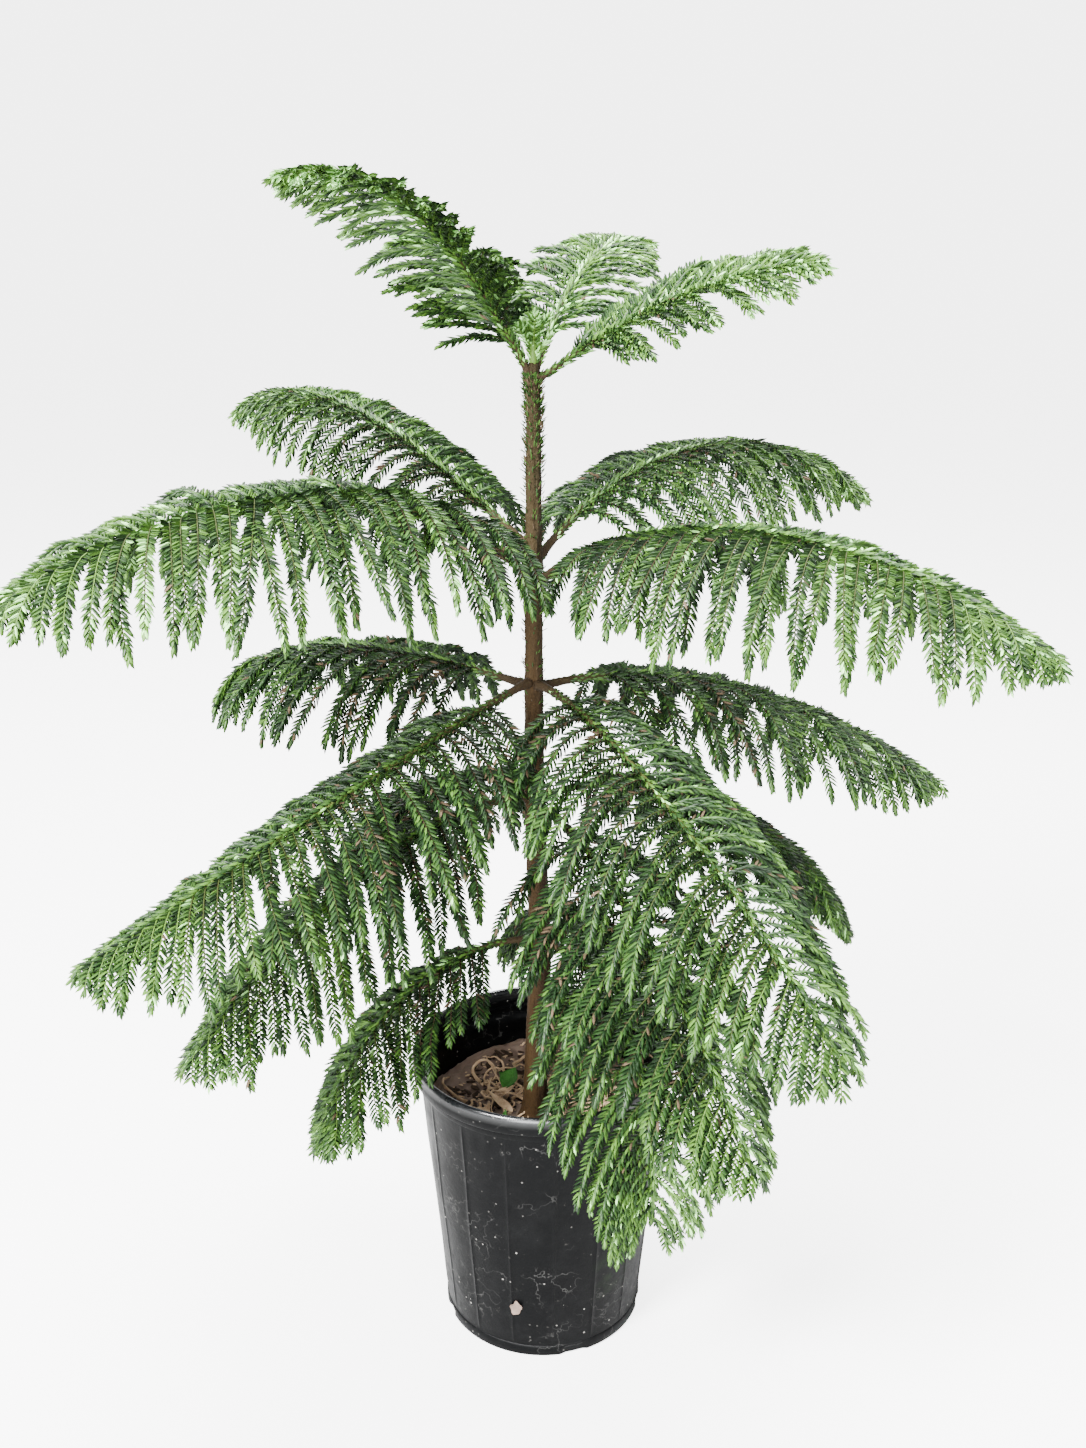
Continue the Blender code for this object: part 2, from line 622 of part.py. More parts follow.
def build_leader(clearance):
    """The short leading shoot on the trunk's tip, with a few rising sprays round it."""
    foot = trunk_centre(TRUNK_TIP_HEIGHT) + Vector((0, 0, GAP))
    top = foot + Vector((0, 0, LEADER_HEIGHT))
    rings = []
    for share in (0.0, 0.5, 1.0):
        radius = LEADER_RADIUS + (STEM_TIP_RADIUS - LEADER_RADIUS) * share
        turn = [math.tau * i / 6 for i in range(6)]
        ring = [foot.lerp(top, share) + radius * Vector((math.cos(a), math.sin(a), 0)) for a in turn]
        rings.append(ring)
    stem = loft(rings)
    clearance.add("leader", stem)
    sprays = []
    for k in range(LEADER_SPRAYS):
        turn = 360 / LEADER_SPRAYS * k + 20
        way = slope_vector(turn, LEADER_SPRAY_RISE)
        root = foot.lerp(top, 0.25 + 0.12 * k)
        tip = root + way * LEADER_SPRAY_LENGTH
        across = slope_vector(turn + 90, 0)
        spray = (root, root.lerp(tip, 0.45), tip, across, LEADER_HALF_WIDTH, LEADER_RADIUS * 0.7)
        if clearance.free("leader", spray_shape(*spray, swell=SWELL)):
            sprays.append(spray_shape(*spray))
    tip = top + Vector((0, 0, LEADER_SPRAY_LENGTH * 0.7))
    root = top - Vector((0, 0, 0.004))
    bend = root.lerp(tip, 0.45)
    sprays.append(spray_shape(root, bend, tip, Vector((1, 0, 0)), LEADER_HALF_WIDTH, STEM_TIP_RADIUS))
    for shape in sprays:
        clearance.add("leader", shape)
    fused("leader", stem, sprays, "needles_young")


def main():
    """Builds the whole plant in an empty scene."""
    for thing in list(bpy.data.objects):
        bpy.data.objects.remove(thing, do_unlink=True)
    clearance = Clearance()
    for node in (build_pot(), build_soil()):
        corners = [v.co.copy() for v in node.data.vertices]
        clearance.add(node.name, (corners, [tuple(f.vertices) for f in node.data.polygons]))
    clearance.add("trunk", build_trunk())
    build_leader(clearance)
    build_boughs(clearance)


main()
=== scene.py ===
"""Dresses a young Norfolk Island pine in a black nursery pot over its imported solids.

Frame: metres, +Z up, origin at the centre of the pot's flat underside, +Y away from the side
it is mostly seen from. Every piece is worked out in this frame and rides on the one body.

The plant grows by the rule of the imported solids: a trunk, five whorls of four boughs, and on
each bough two ranks of branchlets that leave sideways and hang. Here every branchlet is a thin
twig with paired rows of needles along it, and wood has the relief of its bark.
"""

from __future__ import annotations

import itertools
import logging
import math
from dataclasses import dataclass, fields
from enum import Enum

import bpy
import numpy as np
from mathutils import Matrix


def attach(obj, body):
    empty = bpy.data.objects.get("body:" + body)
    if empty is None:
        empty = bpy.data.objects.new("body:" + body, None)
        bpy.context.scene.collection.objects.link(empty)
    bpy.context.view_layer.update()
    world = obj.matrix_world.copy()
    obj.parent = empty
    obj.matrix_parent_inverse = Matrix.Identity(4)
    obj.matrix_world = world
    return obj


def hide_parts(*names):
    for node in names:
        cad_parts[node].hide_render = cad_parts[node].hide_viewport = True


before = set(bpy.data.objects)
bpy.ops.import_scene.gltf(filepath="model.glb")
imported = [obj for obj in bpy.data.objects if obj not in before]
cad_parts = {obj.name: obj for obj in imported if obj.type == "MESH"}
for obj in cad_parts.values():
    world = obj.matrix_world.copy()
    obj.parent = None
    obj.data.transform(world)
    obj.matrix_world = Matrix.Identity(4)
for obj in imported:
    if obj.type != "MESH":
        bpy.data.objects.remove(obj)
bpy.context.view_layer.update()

Array = np.ndarray
Colour = tuple[float, float, float]
Socket = bpy.types.NodeSocket
LOG = logging.getLogger("norfolk_pine")

BODY = "root"
UP = np.array([0.0, 0.0, 1.0])
SEED = 1105
TRUNK_FOOT = (-0.0085, -0.035)      # where the trunk stands on the mix
MIX_TOP = 0.235
SMOOTH = 180.0                      # edges up to this angle stay smooth: all of them


# ------------------------------------------------------------------------------ mesh helpers

def unit(vectors: Array) -> Array:
    """Vectors of length one along the last axis."""
    return vectors / np.maximum(np.linalg.norm(vectors, axis=-1, keepdims=True), 1e-12)


def ease(values: Array, low: float, high: float) -> Array:
    """Smooth step: 0 under low, 1 over high, 3t² − 2t³ between."""
    share = np.clip((values - low) / (high - low), 0.0, 1.0)
    return share * share * (3.0 - 2.0 * share)


def bump(values: Array, centre: float, width: float) -> Array:
    """Bell of height 1: exp(−((value − centre) / width)²)."""
    return np.exp(-(((values - centre) / width) ** 2))


def points_at(x: Array, y: Array, z: Array | float) -> Array:
    """Points from coordinates that broadcast together, with x, y, z along the last axis."""
    return np.stack(np.broadcast_arrays(x, y, z), -1)


def full_turn(count: int) -> Array:
    """Directions spread evenly round a circle, in radians."""
    return np.arange(count) * math.tau / count


def headings(azimuth: Array, slope: Array) -> Array:
    """Unit vectors at azimuths and slopes above level, in degrees."""
    turn, rise = np.radians(azimuth), np.radians(slope)
    return points_at(np.cos(rise) * np.cos(turn), np.cos(rise) * np.sin(turn), np.sin(rise))


@dataclass(frozen=True)
class LatticeNoise:
    """Seeded noise: an eased blend of random values at the corners of a cube lattice."""

    seed: int
    size: int = 24

    def __call__(self, points: Array, scale: float, octaves: int = 1) -> Array:
        """Noise at points, about −1 to 1.

        Args:
            points: Places, with x, y, z along the last axis.
            scale: Lattice cells in a metre.
            octaves: Layers, each of twice the scale and half the weight of the one before.

        Returns:
            One value for each point.
        """
        values = np.random.default_rng(self.seed).uniform(-1.0, 1.0, (self.size,) * 3)
        total = np.zeros(points.shape[:-1])
        for octave in range(octaves):
            place = points * scale * 2.0 ** octave
            cell = np.floor(place).astype(int)
            share = ease(place - cell, 0.0, 1.0)
            for corner in itertools.product((0, 1), repeat=3):
                weight = np.prod(np.where(corner, share, 1.0 - share), axis=-1)
                near = (cell + corner) % self.size
                total += weight * values[near[..., 0], near[..., 1], near[..., 2]] * 0.5 ** octave
        return total


@dataclass
class Shell:
    """Points and faces of one or more closed surfaces."""

    points: Array
    faces: list[Array]

    @property
    def triangles(self) -> int:
        """Triangles that the faces make."""
        return sum(len(f) * (f.shape[1] - 2) for f in self.faces)


def joined(shells: list[Shell]) -> Shell:
    """Shells put one after another into one, each one's faces moved on past the last."""
    starts = np.cumsum([0] + [len(s.points) for s in shells])
    return Shell(np.concatenate([s.points for s in shells]),
                 [f + start for s, start in zip(shells, starts) for f in s.faces])


def grid_shell(points: Array, flipped: bool = False) -> Shell:
    """One or more grids of points as closed surfaces: quads between rows and two flat ends.

    Columns close on themselves, and faces look out where columns turn anticlockwise about the
    way that rows go.

    Args:
        points: Rows × columns × 3, or a batch of such grids.
        flipped: True where columns turn the other way.

    Returns:
        The surfaces as one shell.
    """
    rows, columns = points.shape[-3:-1]
    row, column = np.divmod(np.arange((rows - 1) * columns), columns)
    after = (column + 1) % columns
    quads = np.stack([row * columns + column, row * columns + after,
                      (row + 1) * columns + after, (row + 1) * columns + column], 1)
    ends = np.stack([np.arange(columns)[::-1], np.arange(columns) + (rows - 1) * columns])
    flat = points.reshape(-1, 3)
    shift = np.arange(len(flat) // (rows * columns))[:, None, None] * rows * columns
    faces = [(quads[None] + shift).reshape(-1, 4), (ends[None] + shift).reshape(-1, columns)]
    return Shell(flat, [f[:, ::-1] for f in faces] if flipped else faces)


def tubes(paths: Array, radii: Array, side: Array, sides: int, flatten: float = 1.0,
          relief: Array | float = 0.0) -> Shell:
    """Closed tubes carried along a batch of paths.

    A ring's point is the path's point + (radius + relief) · (cos a · side + sin a · flatten ·
    rise), with rise = along × side and side made square to the path.

    Args:
        paths: Points, batch × rings × 3.
        radii: Radius at each ring, batch × rings.
        side: A direction across each path, which broadcasts to the paths' shape.
        sides: Points round a ring.
        flatten: Thickness over width.
        relief: Extra radius, batch × rings × sides.

    Returns:
        The tubes as one shell.
    """
    along = unit(np.gradient(paths, axis=1))
    side = np.broadcast_to(side, paths.shape)
    side = unit(side - along * np.sum(side * along, -1, keepdims=True))
    rise = np.cross(along, side) * flatten
    turn = full_turn(sides)[:, None]
    round_way = np.cos(turn) * side[:, :, None] + np.sin(turn) * rise[:, :, None]
    return grid_shell(paths[:, :, None] + (radii[:, :, None] + relief)[..., None] * round_way)


def turned(profile: Array, angles: Array, push: Array | float = 0.0) -> Array:
    """Points of a surface turned about Z: (r cos a, r sin a, z), r = the profile's + push.

    Args:
        profile: Radius and height, rings × 2, going up the outside from near the axis.
        angles: Directions round the axis, growing, in radians.
        push: Extra radius, rings × angles.

    Returns:
        Rings × angles × 3.
    """
    radius = profile[:, :1] + push
    return points_at(radius * np.cos(angles), radius * np.sin(angles), profile[:, 1:2])


def new_mesh(name: str, shell: Shell) -> bpy.types.Mesh:
    """A mesh filled from whole arrays.

    Args:
        name: Its name.
        shell: Its points and faces.

    Returns:
        The mesh.
    """
    mesh = bpy.data.meshes.new(name)
    mesh.vertices.add(len(shell.points))
    mesh.vertices.foreach_set("co", np.ascontiguousarray(shell.points, np.float32).ravel())
    loops = np.concatenate([f.ravel() for f in shell.faces])
    sizes = np.concatenate([np.full(len(f), f.shape[1]) for f in shell.faces])
    mesh.loops.add(len(loops))
    mesh.loops.foreach_set("vertex_index", loops.astype(np.int32))
    mesh.polygons.add(len(sizes))
    starts = np.concatenate([[0], np.cumsum(sizes)[:-1]])
    mesh.polygons.foreach_set("loop_start", starts.astype(np.int32))
    mesh.update(calc_edges=True)
    mesh.validate()
    return mesh


def placed(name: str, data: bpy.types.ID) -> bpy.types.Object:
    """Puts a mesh, a light or a camera in the scene.

    Args:
        name: The object's name.
        data: What it shows.

    Returns:
        The object.
    """
    thing = bpy.data.objects.new(name, data)
    bpy.context.scene.collection.objects.link(thing)
    return thing


def add_piece(name: str, shell: Shell, finish: Finish, nodes: tuple[str, ...] = (),
              sharp: float | None = 60.0) -> None:
    """Puts a shell in the scene as one dressed piece that rides on the plant.

    Args:
        name: The piece's name.
        shell: Its surface.
        finish: What it looks like.
        nodes: The CAD nodes that it stands for.
        sharp: Edges that turn more than this many degrees stay sharp; None leaves it faceted.
    """
    mesh = new_mesh(name, shell)
    mesh.materials.append(finish.material())
    if sharp is not None:
        mesh.shade_smooth()
        if sharp < SMOOTH:
            mesh.set_sharp_from_angle(angle=math.radians(sharp))
    piece = placed(name, mesh)
    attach(piece, BODY)
    if nodes:
        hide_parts(*nodes)
    LOG.info("%s: %d triangles", name, shell.triangles)


# -------------------------------------------------------------------------- material helpers

class NodeSheet:
    """A node tree being filled: adds nodes, sets their sockets and links them."""

    def __init__(self, tree: bpy.types.NodeTree) -> None:
        """Starts on a material's tree or a group."""
        self.tree = tree

    def add(self, kind: str, inputs: dict[str | int, object] | None = None,
            **settings: object) -> bpy.types.Node:
        """Adds one shader node.

        Args:
            kind: The node's type without its ShaderNode prefix.
            inputs: What goes into its sockets, by name or number: a socket or a value.
            **settings: The node's own options.

        Returns:
            The node.
        """
        node = self.tree.nodes.new("ShaderNode" + kind)
        for key, value in settings.items():
            setattr(node, key, value)
        for key, value in (inputs or {}).items():
            self.feed(node.inputs[key], value)
        return node

    def feed(self, socket: Socket, value: object) -> None:
        """Links a socket to another one, or sets its value.

        Args:
            socket: The socket that takes it.
            value: A socket, or a value; three numbers for a colour.
        """
        if isinstance(value, bpy.types.NodeSocket):
            self.tree.links.new(value, socket)
        elif isinstance(value, tuple) and len(value) == 3 and socket.type == "RGBA":
            socket.default_value = (*value, 1.0)
        else:
            socket.default_value = value

    def shade(self, key: str, value: object) -> None:
        """Feeds one socket of the material's shader."""
        self.feed(self.tree.nodes["Principled BSDF"].inputs[key], value)

    def coat(self, colour: object, roughness: object, sheen: object) -> None:
        """Feeds the shader's colour, roughness and sheen, each a socket or a value."""
        for key, value in zip(("Base Color", "Roughness", "Specular IOR Level"),
                              (colour, roughness, sheen)):
            self.shade(key, value)

    def relief(self, height: Socket, distance: float, strength: float = 1.0) -> None:
        """Feeds the shader's normal from a height."""
        node = self.add("Bump", {"Height": height, "Distance": distance, "Strength": strength})
        self.shade("Normal", node.outputs[0])

    def place(self) -> Socket:
        """Place on the piece, in metres of the frame."""
        return self.add("TexCoord").outputs["Object"]

    def math(self, operation: str, first: object, second: object = 0.5) -> Socket:
        """Result of a Math node."""
        return self.add("Math", {0: first, 1: second}, operation=operation).outputs[0]

    def times(self, first: Socket, second: object) -> Socket:
        """Product of two values."""
        return self.math("MULTIPLY", first, second)

    def distance(self, place: Socket, centre: tuple[float, float, float]) -> Socket:
        """How far a place is from a fixed point."""
        return self.add("VectorMath", {0: place, 1: centre}, operation="DISTANCE").outputs["Value"]

    def mix(self, factor: object, first: object, second: object) -> Socket:
        """Two colours mixed by a factor."""
        return self.add("Mix", {0: factor, 6: first, 7: second}, data_type="RGBA").outputs[2]

    def spread(self, value: Socket, low: float, high: float, bottom: float = 0.0,
               top: float = 1.0) -> Socket:
        """A value's range from low to high carried, clamped, to bottom to top."""
        return self.add("MapRange", {0: value, 1: low, 2: high, 3: bottom, 4: top}).outputs[0]

    def ramp(self, value: Socket, stops: list[tuple[float, Colour]]) -> Socket:
        """Colour read from a ramp.

        Args:
            value: Where on the ramp to read.
            stops: Places from 0 to 1, each with its colour.

        Returns:
            The colour's socket.
        """
        node = self.add("ValToRGB", {0: value})
        marks = node.color_ramp.elements
        while len(marks) < len(stops):
            marks.new(0.5)
        for mark, (place, colour) in zip(marks, stops):
            mark.position = place
            mark.color = (*colour, 1.0)
        return node.outputs[0]

    def noise(self, vector: Socket, scale: object, detail: float = 3.0,
              roughness: float = 0.5) -> Socket:
        """Value of a Noise Texture."""
        sockets = {"Vector": vector, "Scale": scale, "Detail": detail, "Roughness": roughness}
        return self.add("TexNoise", sockets).outputs[0]

    def stretch(self, vector: Socket, scale: tuple[float, float, float]) -> Socket:
        """Coordinates scaled apart on each axis."""
        return self.add("Mapping", {"Vector": vector, "Scale": scale}).outputs[0]

    def grain(self, place: Socket, scale: float) -> tuple[Socket, Socket]:
        """The broad and the fine mottling of the shared grain group."""
        node = self.add("Group", {"Vector": place, "Scale": scale}, node_tree=grain_group())
        return node.outputs["Value"], node.outputs["Fine"]

    def specks(self, place: Socket, scale: float, size: float, cover: float) -> Socket:
        """The mask of the shared specks group."""
        sockets = {"Vector": place, "Scale": scale, "Size": size, "Cover": cover}
        return self.add("Group", sockets, node_tree=specks_group()).outputs["Mask"]


def group_tree(name: str, inputs: dict[str, str], outputs: tuple[str, ...]
               ) -> tuple[NodeSheet, bpy.types.NodeOutputs, bpy.types.NodeInputs]:
    """Starts a shader node group.

    Args:
        name: The group's name.
        inputs: Socket kinds by name, without the NodeSocket prefix.
        outputs: Names of the values that it puts out.

    Returns:
        The sheet to fill, what the group is given and what it has to feed.
    """
    tree = bpy.data.node_groups.new(name, "ShaderNodeTree")
    for way, sockets in (("INPUT", inputs), ("OUTPUT", dict.fromkeys(outputs, "Float"))):
        for key, kind in sockets.items():
            tree.interface.new_socket(key, in_out=way, socket_type="NodeSocket" + kind)
    start = tree.nodes.new("NodeGroupInput")
    return NodeSheet(tree), start.outputs, tree.nodes.new("NodeGroupOutput").inputs


def grain_group() -> bpy.types.NodeTree:
    """Broad and fine mottling of a surface.

    Value = 0.6 · coarse noise + 0.4 · noise five times finer, spread to fill 0 to 1. Fine is
    the finer noise alone.

    Returns:
        The group, made when first asked for.
    """
    if "grain" in bpy.data.node_groups:
        return bpy.data.node_groups["grain"]
    sheet, given, result = group_tree("grain", {"Vector": "Vector", "Scale": "Float"},
                                      ("Value", "Fine"))
    coarse = sheet.noise(given["Vector"], given["Scale"], 4.0)
    fine = sheet.noise(given["Vector"], sheet.times(given["Scale"], 5.0), 5.0, 0.6)
    both = sheet.math("ADD", sheet.times(coarse, 0.6), sheet.times(fine, 0.4))
    sheet.feed(result["Value"], sheet.spread(both, 0.3, 0.7))
    sheet.feed(result["Fine"], fine)
    return sheet.tree


def specks_group() -> bpy.types.NodeTree:
    """Scattered round specks.

    Mask = 1 within Size of a Voronoi cell's centre, in the share of cells that Cover says.

    Returns:
        The group, made when first asked for.
    """
    if "specks" in bpy.data.node_groups:
        return bpy.data.node_groups["specks"]
    sheet, given, result = group_tree(
        "specks", {"Vector": "Vector", "Scale": "Float", "Size": "Float", "Cover": "Float"},
        ("Mask",))
    cells = sheet.add("TexVoronoi", {"Vector": given["Vector"], "Scale": given["Scale"]})
    near = sheet.math("LESS_THAN", cells.outputs["Distance"], given["Size"])
    split = sheet.add("SeparateColor", {0: cells.outputs["Color"]})
    chosen = sheet.math("LESS_THAN", split.outputs[0], given["Cover"])
    sheet.feed(result["Mask"], sheet.times(near, chosen))
    return sheet.tree


# ---------------------------------------------------------------------------------- finishes

DULL = 0.1
"""Sheen of bark, mix and litter."""


@dataclass(frozen=True)
class Finish:
    """What every finish has: a name and a way to make its material once."""

    name: str

    def material(self) -> bpy.types.Material:
        """The finish as a material.

        Returns:
            The material, made when first asked for.
        """
        if self.name in bpy.data.materials:
            return bpy.data.materials[self.name]
        made = bpy.data.materials.new(self.name)
        made.use_nodes = True
        self.fill(NodeSheet(made.node_tree))
        return made

    def fill(self, sheet: NodeSheet) -> None:
        """Feeds the shader's sockets.

        Args:
            sheet: The material's node tree.
        """
        raise NotImplementedError


@dataclass(frozen=True)
class PlainFinish(Finish):
    """A plain base colour for small parts that are dealt out by spray or piece."""

    colour: Colour
    roughness: float
    specular: float

    def fill(self, sheet: NodeSheet) -> None:
        """Sets the constants straight on the shader."""
        sheet.coat(self.colour, self.roughness, self.specular)


@dataclass(frozen=True)
class FloorPaint(Finish):
    """The stage's pale floor, that the camera sees as bright as the backdrop."""

    ambient: float
    backdrop: float
    pale: float = 0.38

    def fill(self, sheet: NodeSheet) -> None:
        """Adds what the floor lacks to the backdrop, for camera rays alone.

        Args:
            sheet: The material's node tree.
        """
        sheet.coat((self.pale,) * 3, 0.9, 0.0)
        sheet.shade("Emission Color", (1.0, 1.0, 1.0))
        seen = sheet.add("LightPath").outputs["Is Camera Ray"]
        lack = self.backdrop - self.pale * self.ambient
        sheet.shade("Emission Strength", sheet.times(seen, lack))


@dataclass(frozen=True)
class PotPlastic(Finish):
    """Black moulded plastic, dusty below, with scuffs, scratches, specks, algae and a painted rim
    reflection.
    """

    black: Colour = (0.0008, 0.0009, 0.0010)
    worn: Colour = (0.0028, 0.0030, 0.0031)
    scuff: Colour = (0.050, 0.048, 0.044)
    scratch: Colour = (0.026, 0.026, 0.025)
    speck: Colour = (0.200, 0.195, 0.180)
    algae: Colour = (0.0040, 0.0075, 0.0030)
    # painted reflection: a bluish grey, lighter than the black, laid on the rim
    rim_sky_reflection: Colour = (0.0040, 0.0050, 0.0060)
    rim_low: float = 0.2860
    stain_place: tuple[float, float, float] = (0.074, -0.092, 0.085)

    def fill(self, sheet: NodeSheet) -> None:
        """Lays dust, streaks, scuffs, scratches, specks, stain and a painted rim reflection over the
        black.

        Args:
            sheet: The material's node tree.
        """
        place = sheet.place()
        height = sheet.add("SeparateXYZ", {0: place}).outputs[2]
        broad, fine = sheet.grain(place, 26.0)
        dust = sheet.times(sheet.spread(broad, 0.45, 1.0), sheet.spread(height, 0.27, 0.02, 0.25, 0.8))
        colour = sheet.mix(dust, self.black, self.worn)
        streaks = sheet.noise(sheet.stretch(place, (150.0, 150.0, 9.0)), 1.0, 3.0, 0.6)
        colour = sheet.mix(sheet.spread(streaks, 0.62, 0.78, 0.0, 0.35), colour, self.worn)
        scuffs = sheet.noise(sheet.stretch(place, (110.0, 110.0, 130.0)), 1.0, 6.0, 0.75)
        colour = sheet.mix(sheet.spread(scuffs, 0.64, 0.72, 0.0, 0.6), colour, self.scuff)
        bend = sheet.math("ABSOLUTE", sheet.math("SUBTRACT", sheet.noise(place, 48.0), 0.5))
        patches = sheet.spread(sheet.noise(place, 17.0), 0.50, 0.60, 0.0, 0.7)
        scratches = sheet.times(sheet.spread(bend, 0.004, 0.011, 1.0, 0.0), patches)
        colour = sheet.mix(scratches, colour, self.scratch)
        thick = sheet.times(sheet.specks(place, 150.0, 0.15, 0.22),
                            sheet.spread(sheet.noise(place, 14.0), 0.42, 0.6, 0.1, 0.85))
        colour = sheet.mix(thick, colour, self.speck)
        stain = sheet.times(sheet.spread(sheet.distance(place, self.stain_place), 0.035, 0.008),
                            sheet.spread(sheet.noise(place, 70.0, 4.0), 0.42, 0.62))
        colour = sheet.mix(stain, colour, self.algae)
        # painted reflection of the sky: patches of bluish grey on the rim
        on_rim = sheet.spread(height, self.rim_low, self.rim_low + 0.003)
        reflection_patches = sheet.spread(fine, 0.3, 0.8, 0.25, 0.7)
        colour = sheet.mix(sheet.times(on_rim, reflection_patches), colour, self.rim_sky_reflection)
        rough = sheet.math("ADD", sheet.spread(broad, 0.0, 1.0, 0.30, 0.46), sheet.times(dust, 0.18))
        rough = sheet.math("SUBTRACT", rough, sheet.times(on_rim, 0.14))
        sheet.coat(colour, rough, sheet.spread(height, 0.282, 0.289, 0.06, 0.5))
        sheet.relief(fine, 0.0005, 0.5)


@dataclass(frozen=True)
class SoilFinish(Finish):
    """Damp dark potting mix with pale crumbs."""

    dark: Colour = (0.0022, 0.0013, 0.0008)
    light: Colour = (0.0060, 0.0036, 0.0020)
    crumb: Colour = (0.300, 0.220, 0.140)

    def fill(self, sheet: NodeSheet) -> None:
        """Mottles the mix and scatters crumbs on it.

        Args:
            sheet: The material's node tree.
        """
        place = sheet.place()
        broad, fine = sheet.grain(place, 120.0)
        colour = sheet.mix(broad, self.dark, self.light)
        colour = sheet.mix(sheet.specks(place, 260.0, 0.30, 0.16), colour, self.crumb)
        sheet.coat(colour, 0.93, DULL)
        sheet.relief(fine, 0.002)


@dataclass(frozen=True)
class TrunkBark(Finish):
    """Thin brown bark, green above: paler with painted light on the left, darker with painted shade
    and fissured on the right.
    """

    # left is the brown with painted light on the lit left side, right the brown with painted shade on
    # the shaded right side; right also darkens the fine mottle
    left: Colour = (0.034, 0.0190, 0.0070)
    right: Colour = (0.0130, 0.0072, 0.0030)
    young: Colour = (0.0062, 0.0062, 0.0013)
    fissure: Colour = (0.005, 0.003, 0.002)
    brown_below: float = 0.60
    green_above: float = 0.86

    def fill(self, sheet: NodeSheet) -> None:
        """Mixes the painted lit and shaded browns, the greener top and dark fissures that run up the
        trunk.

        Args:
            sheet: The material's node tree.
        """
        place = sheet.place()
        axes = sheet.add("SeparateXYZ", {0: place}).outputs
        broad, fine = sheet.grain(sheet.stretch(place, (1.0, 1.0, 0.35)), 140.0)
        lean = sheet.math("ADD", axes[0], sheet.spread(broad, 0, 1, -0.004, 0.004))
        # painted light and shade: paler brown on the lit left, darker brown on the shaded right
        colour = sheet.mix(sheet.spread(lean, -0.010, 0.001), self.left, self.right)
        greener = sheet.spread(axes[2], self.brown_below, self.green_above, 0.0, 0.75)
        colour = sheet.mix(greener, colour, self.young)
        cracks = sheet.noise(sheet.stretch(place, (330.0, 330.0, 26.0)), 1.0, 5.0, 0.6)
        colour = sheet.mix(sheet.spread(cracks, 0.60, 0.72, 0.0, 0.8), colour, self.fissure)
        colour = sheet.mix(sheet.spread(fine, 0.3, 0.7, 0.35, 0.0), colour, self.right)
        sheet.coat(colour, sheet.spread(cracks, 0.3, 0.7, 0.62, 0.9), DULL)
        sheet.relief(sheet.math("SUBTRACT", fine, cracks), 0.0012)


@dataclass(frozen=True)
class BoughBark(Finish):
    """Bark of a bough: brown at the trunk, olive further out and yellow-green at its tip."""

    inner: Colour = (0.018, 0.011, 0.005)
    middle: Colour = (0.024, 0.027, 0.006)
    outer: Colour = (0.060, 0.095, 0.014)
    reach: float = 0.34
    trunk_middle: tuple[float, float, float] = (-0.0085, -0.015, 0.0)

    def fill(self, sheet: NodeSheet) -> None:
        """Reads the distance from the trunk on a ramp and mottles it.

        Args:
            sheet: The material's node tree.
        """
        place = sheet.place()
        flat = sheet.add("VectorMath", {0: place, 1: (1.0, 1.0, 0.0)}, operation="MULTIPLY")
        away = sheet.distance(flat.outputs[0], self.trunk_middle)
        broad, fine = sheet.grain(place, 170.0)
        out = sheet.math("ADD", sheet.spread(away, 0.0, self.reach),
                         sheet.spread(broad, 0.0, 1.0, -0.08, 0.08))
        colour = sheet.ramp(out, [(0.04, self.inner), (0.38, self.middle), (0.95, self.outer)])
        colour = sheet.mix(sheet.spread(fine, 0.35, 0.65, 0.45, 0.0), colour, self.inner)
        sheet.coat(colour, 0.66, DULL)
        sheet.relief(fine, 0.0008)


@dataclass(frozen=True)
class MottledFinish(Finish):
    """A dry or fresh bit of litter: one colour mottled towards another."""

    first: Colour
    second: Colour
    scale: float
    roughness: float = 0.75

    def fill(self, sheet: NodeSheet) -> None:
        """Mixes the two colours by the grain.

        Args:
            sheet: The material's node tree.
        """
        broad, fine = sheet.grain(sheet.place(), self.scale)
        sheet.coat(sheet.mix(broad, self.first, self.second), self.roughness, DULL)
        sheet.relief(fine, 0.0006)


class NeedleTint(Enum):
    """Plain colours that needles are dealt in by spray, from the shaded inside outwards."""

    DEEP = PlainFinish("needles_deep", (0.0036, 0.0105, 0.0028), 0.45, 0.16)
    SHADE = PlainFinish("needles_shade", (0.0100, 0.0270, 0.0062), 0.45, 0.16)
    LEAF = PlainFinish("needles_leaf", (0.0230, 0.0560, 0.0100), 0.45, 0.16)
    FRESH = PlainFinish("needles_fresh", (0.0420, 0.0960, 0.0135), 0.45, 0.16)
    YOUNG = PlainFinish("needles_young", (0.0620, 0.1380, 0.0160), 0.45, 0.16)
    DRY = PlainFinish("needles_dry", (0.055, 0.038, 0.022), 0.70, DULL)


class TwigTint(Enum):
    """Plain colours of the twigs."""

    BROWN = PlainFinish("twigs_brown", (0.015, 0.010, 0.004), 0.70, DULL)
    OLIVE = PlainFinish("twigs_olive", (0.020, 0.026, 0.006), 0.62, DULL)
    GREEN = PlainFinish("twigs_green", (0.044, 0.088, 0.012), 0.55, 0.15)


class Litter(Enum):
    """Looks of what lies on the mix and sticks to the pot."""

    SCRAP = MottledFinish("dried_scrap", (0.085, 0.058, 0.046), (0.150, 0.108, 0.088), 220.0)
    DARK_CHIP = MottledFinish("chips_dark", (0.007, 0.004, 0.0024), (0.040, 0.024, 0.014), 300.0)
    PALE_CHIP = MottledFinish("chips_pale", (0.240, 0.160, 0.096), (0.480, 0.360, 0.240), 300.0)
    STEM = MottledFinish("stems_dry", (0.240, 0.155, 0.092), (0.480, 0.350, 0.220), 160.0)
    WEED = MottledFinish("weed_green", (0.014, 0.058, 0.009), (0.028, 0.100, 0.014), 120.0, 0.45)


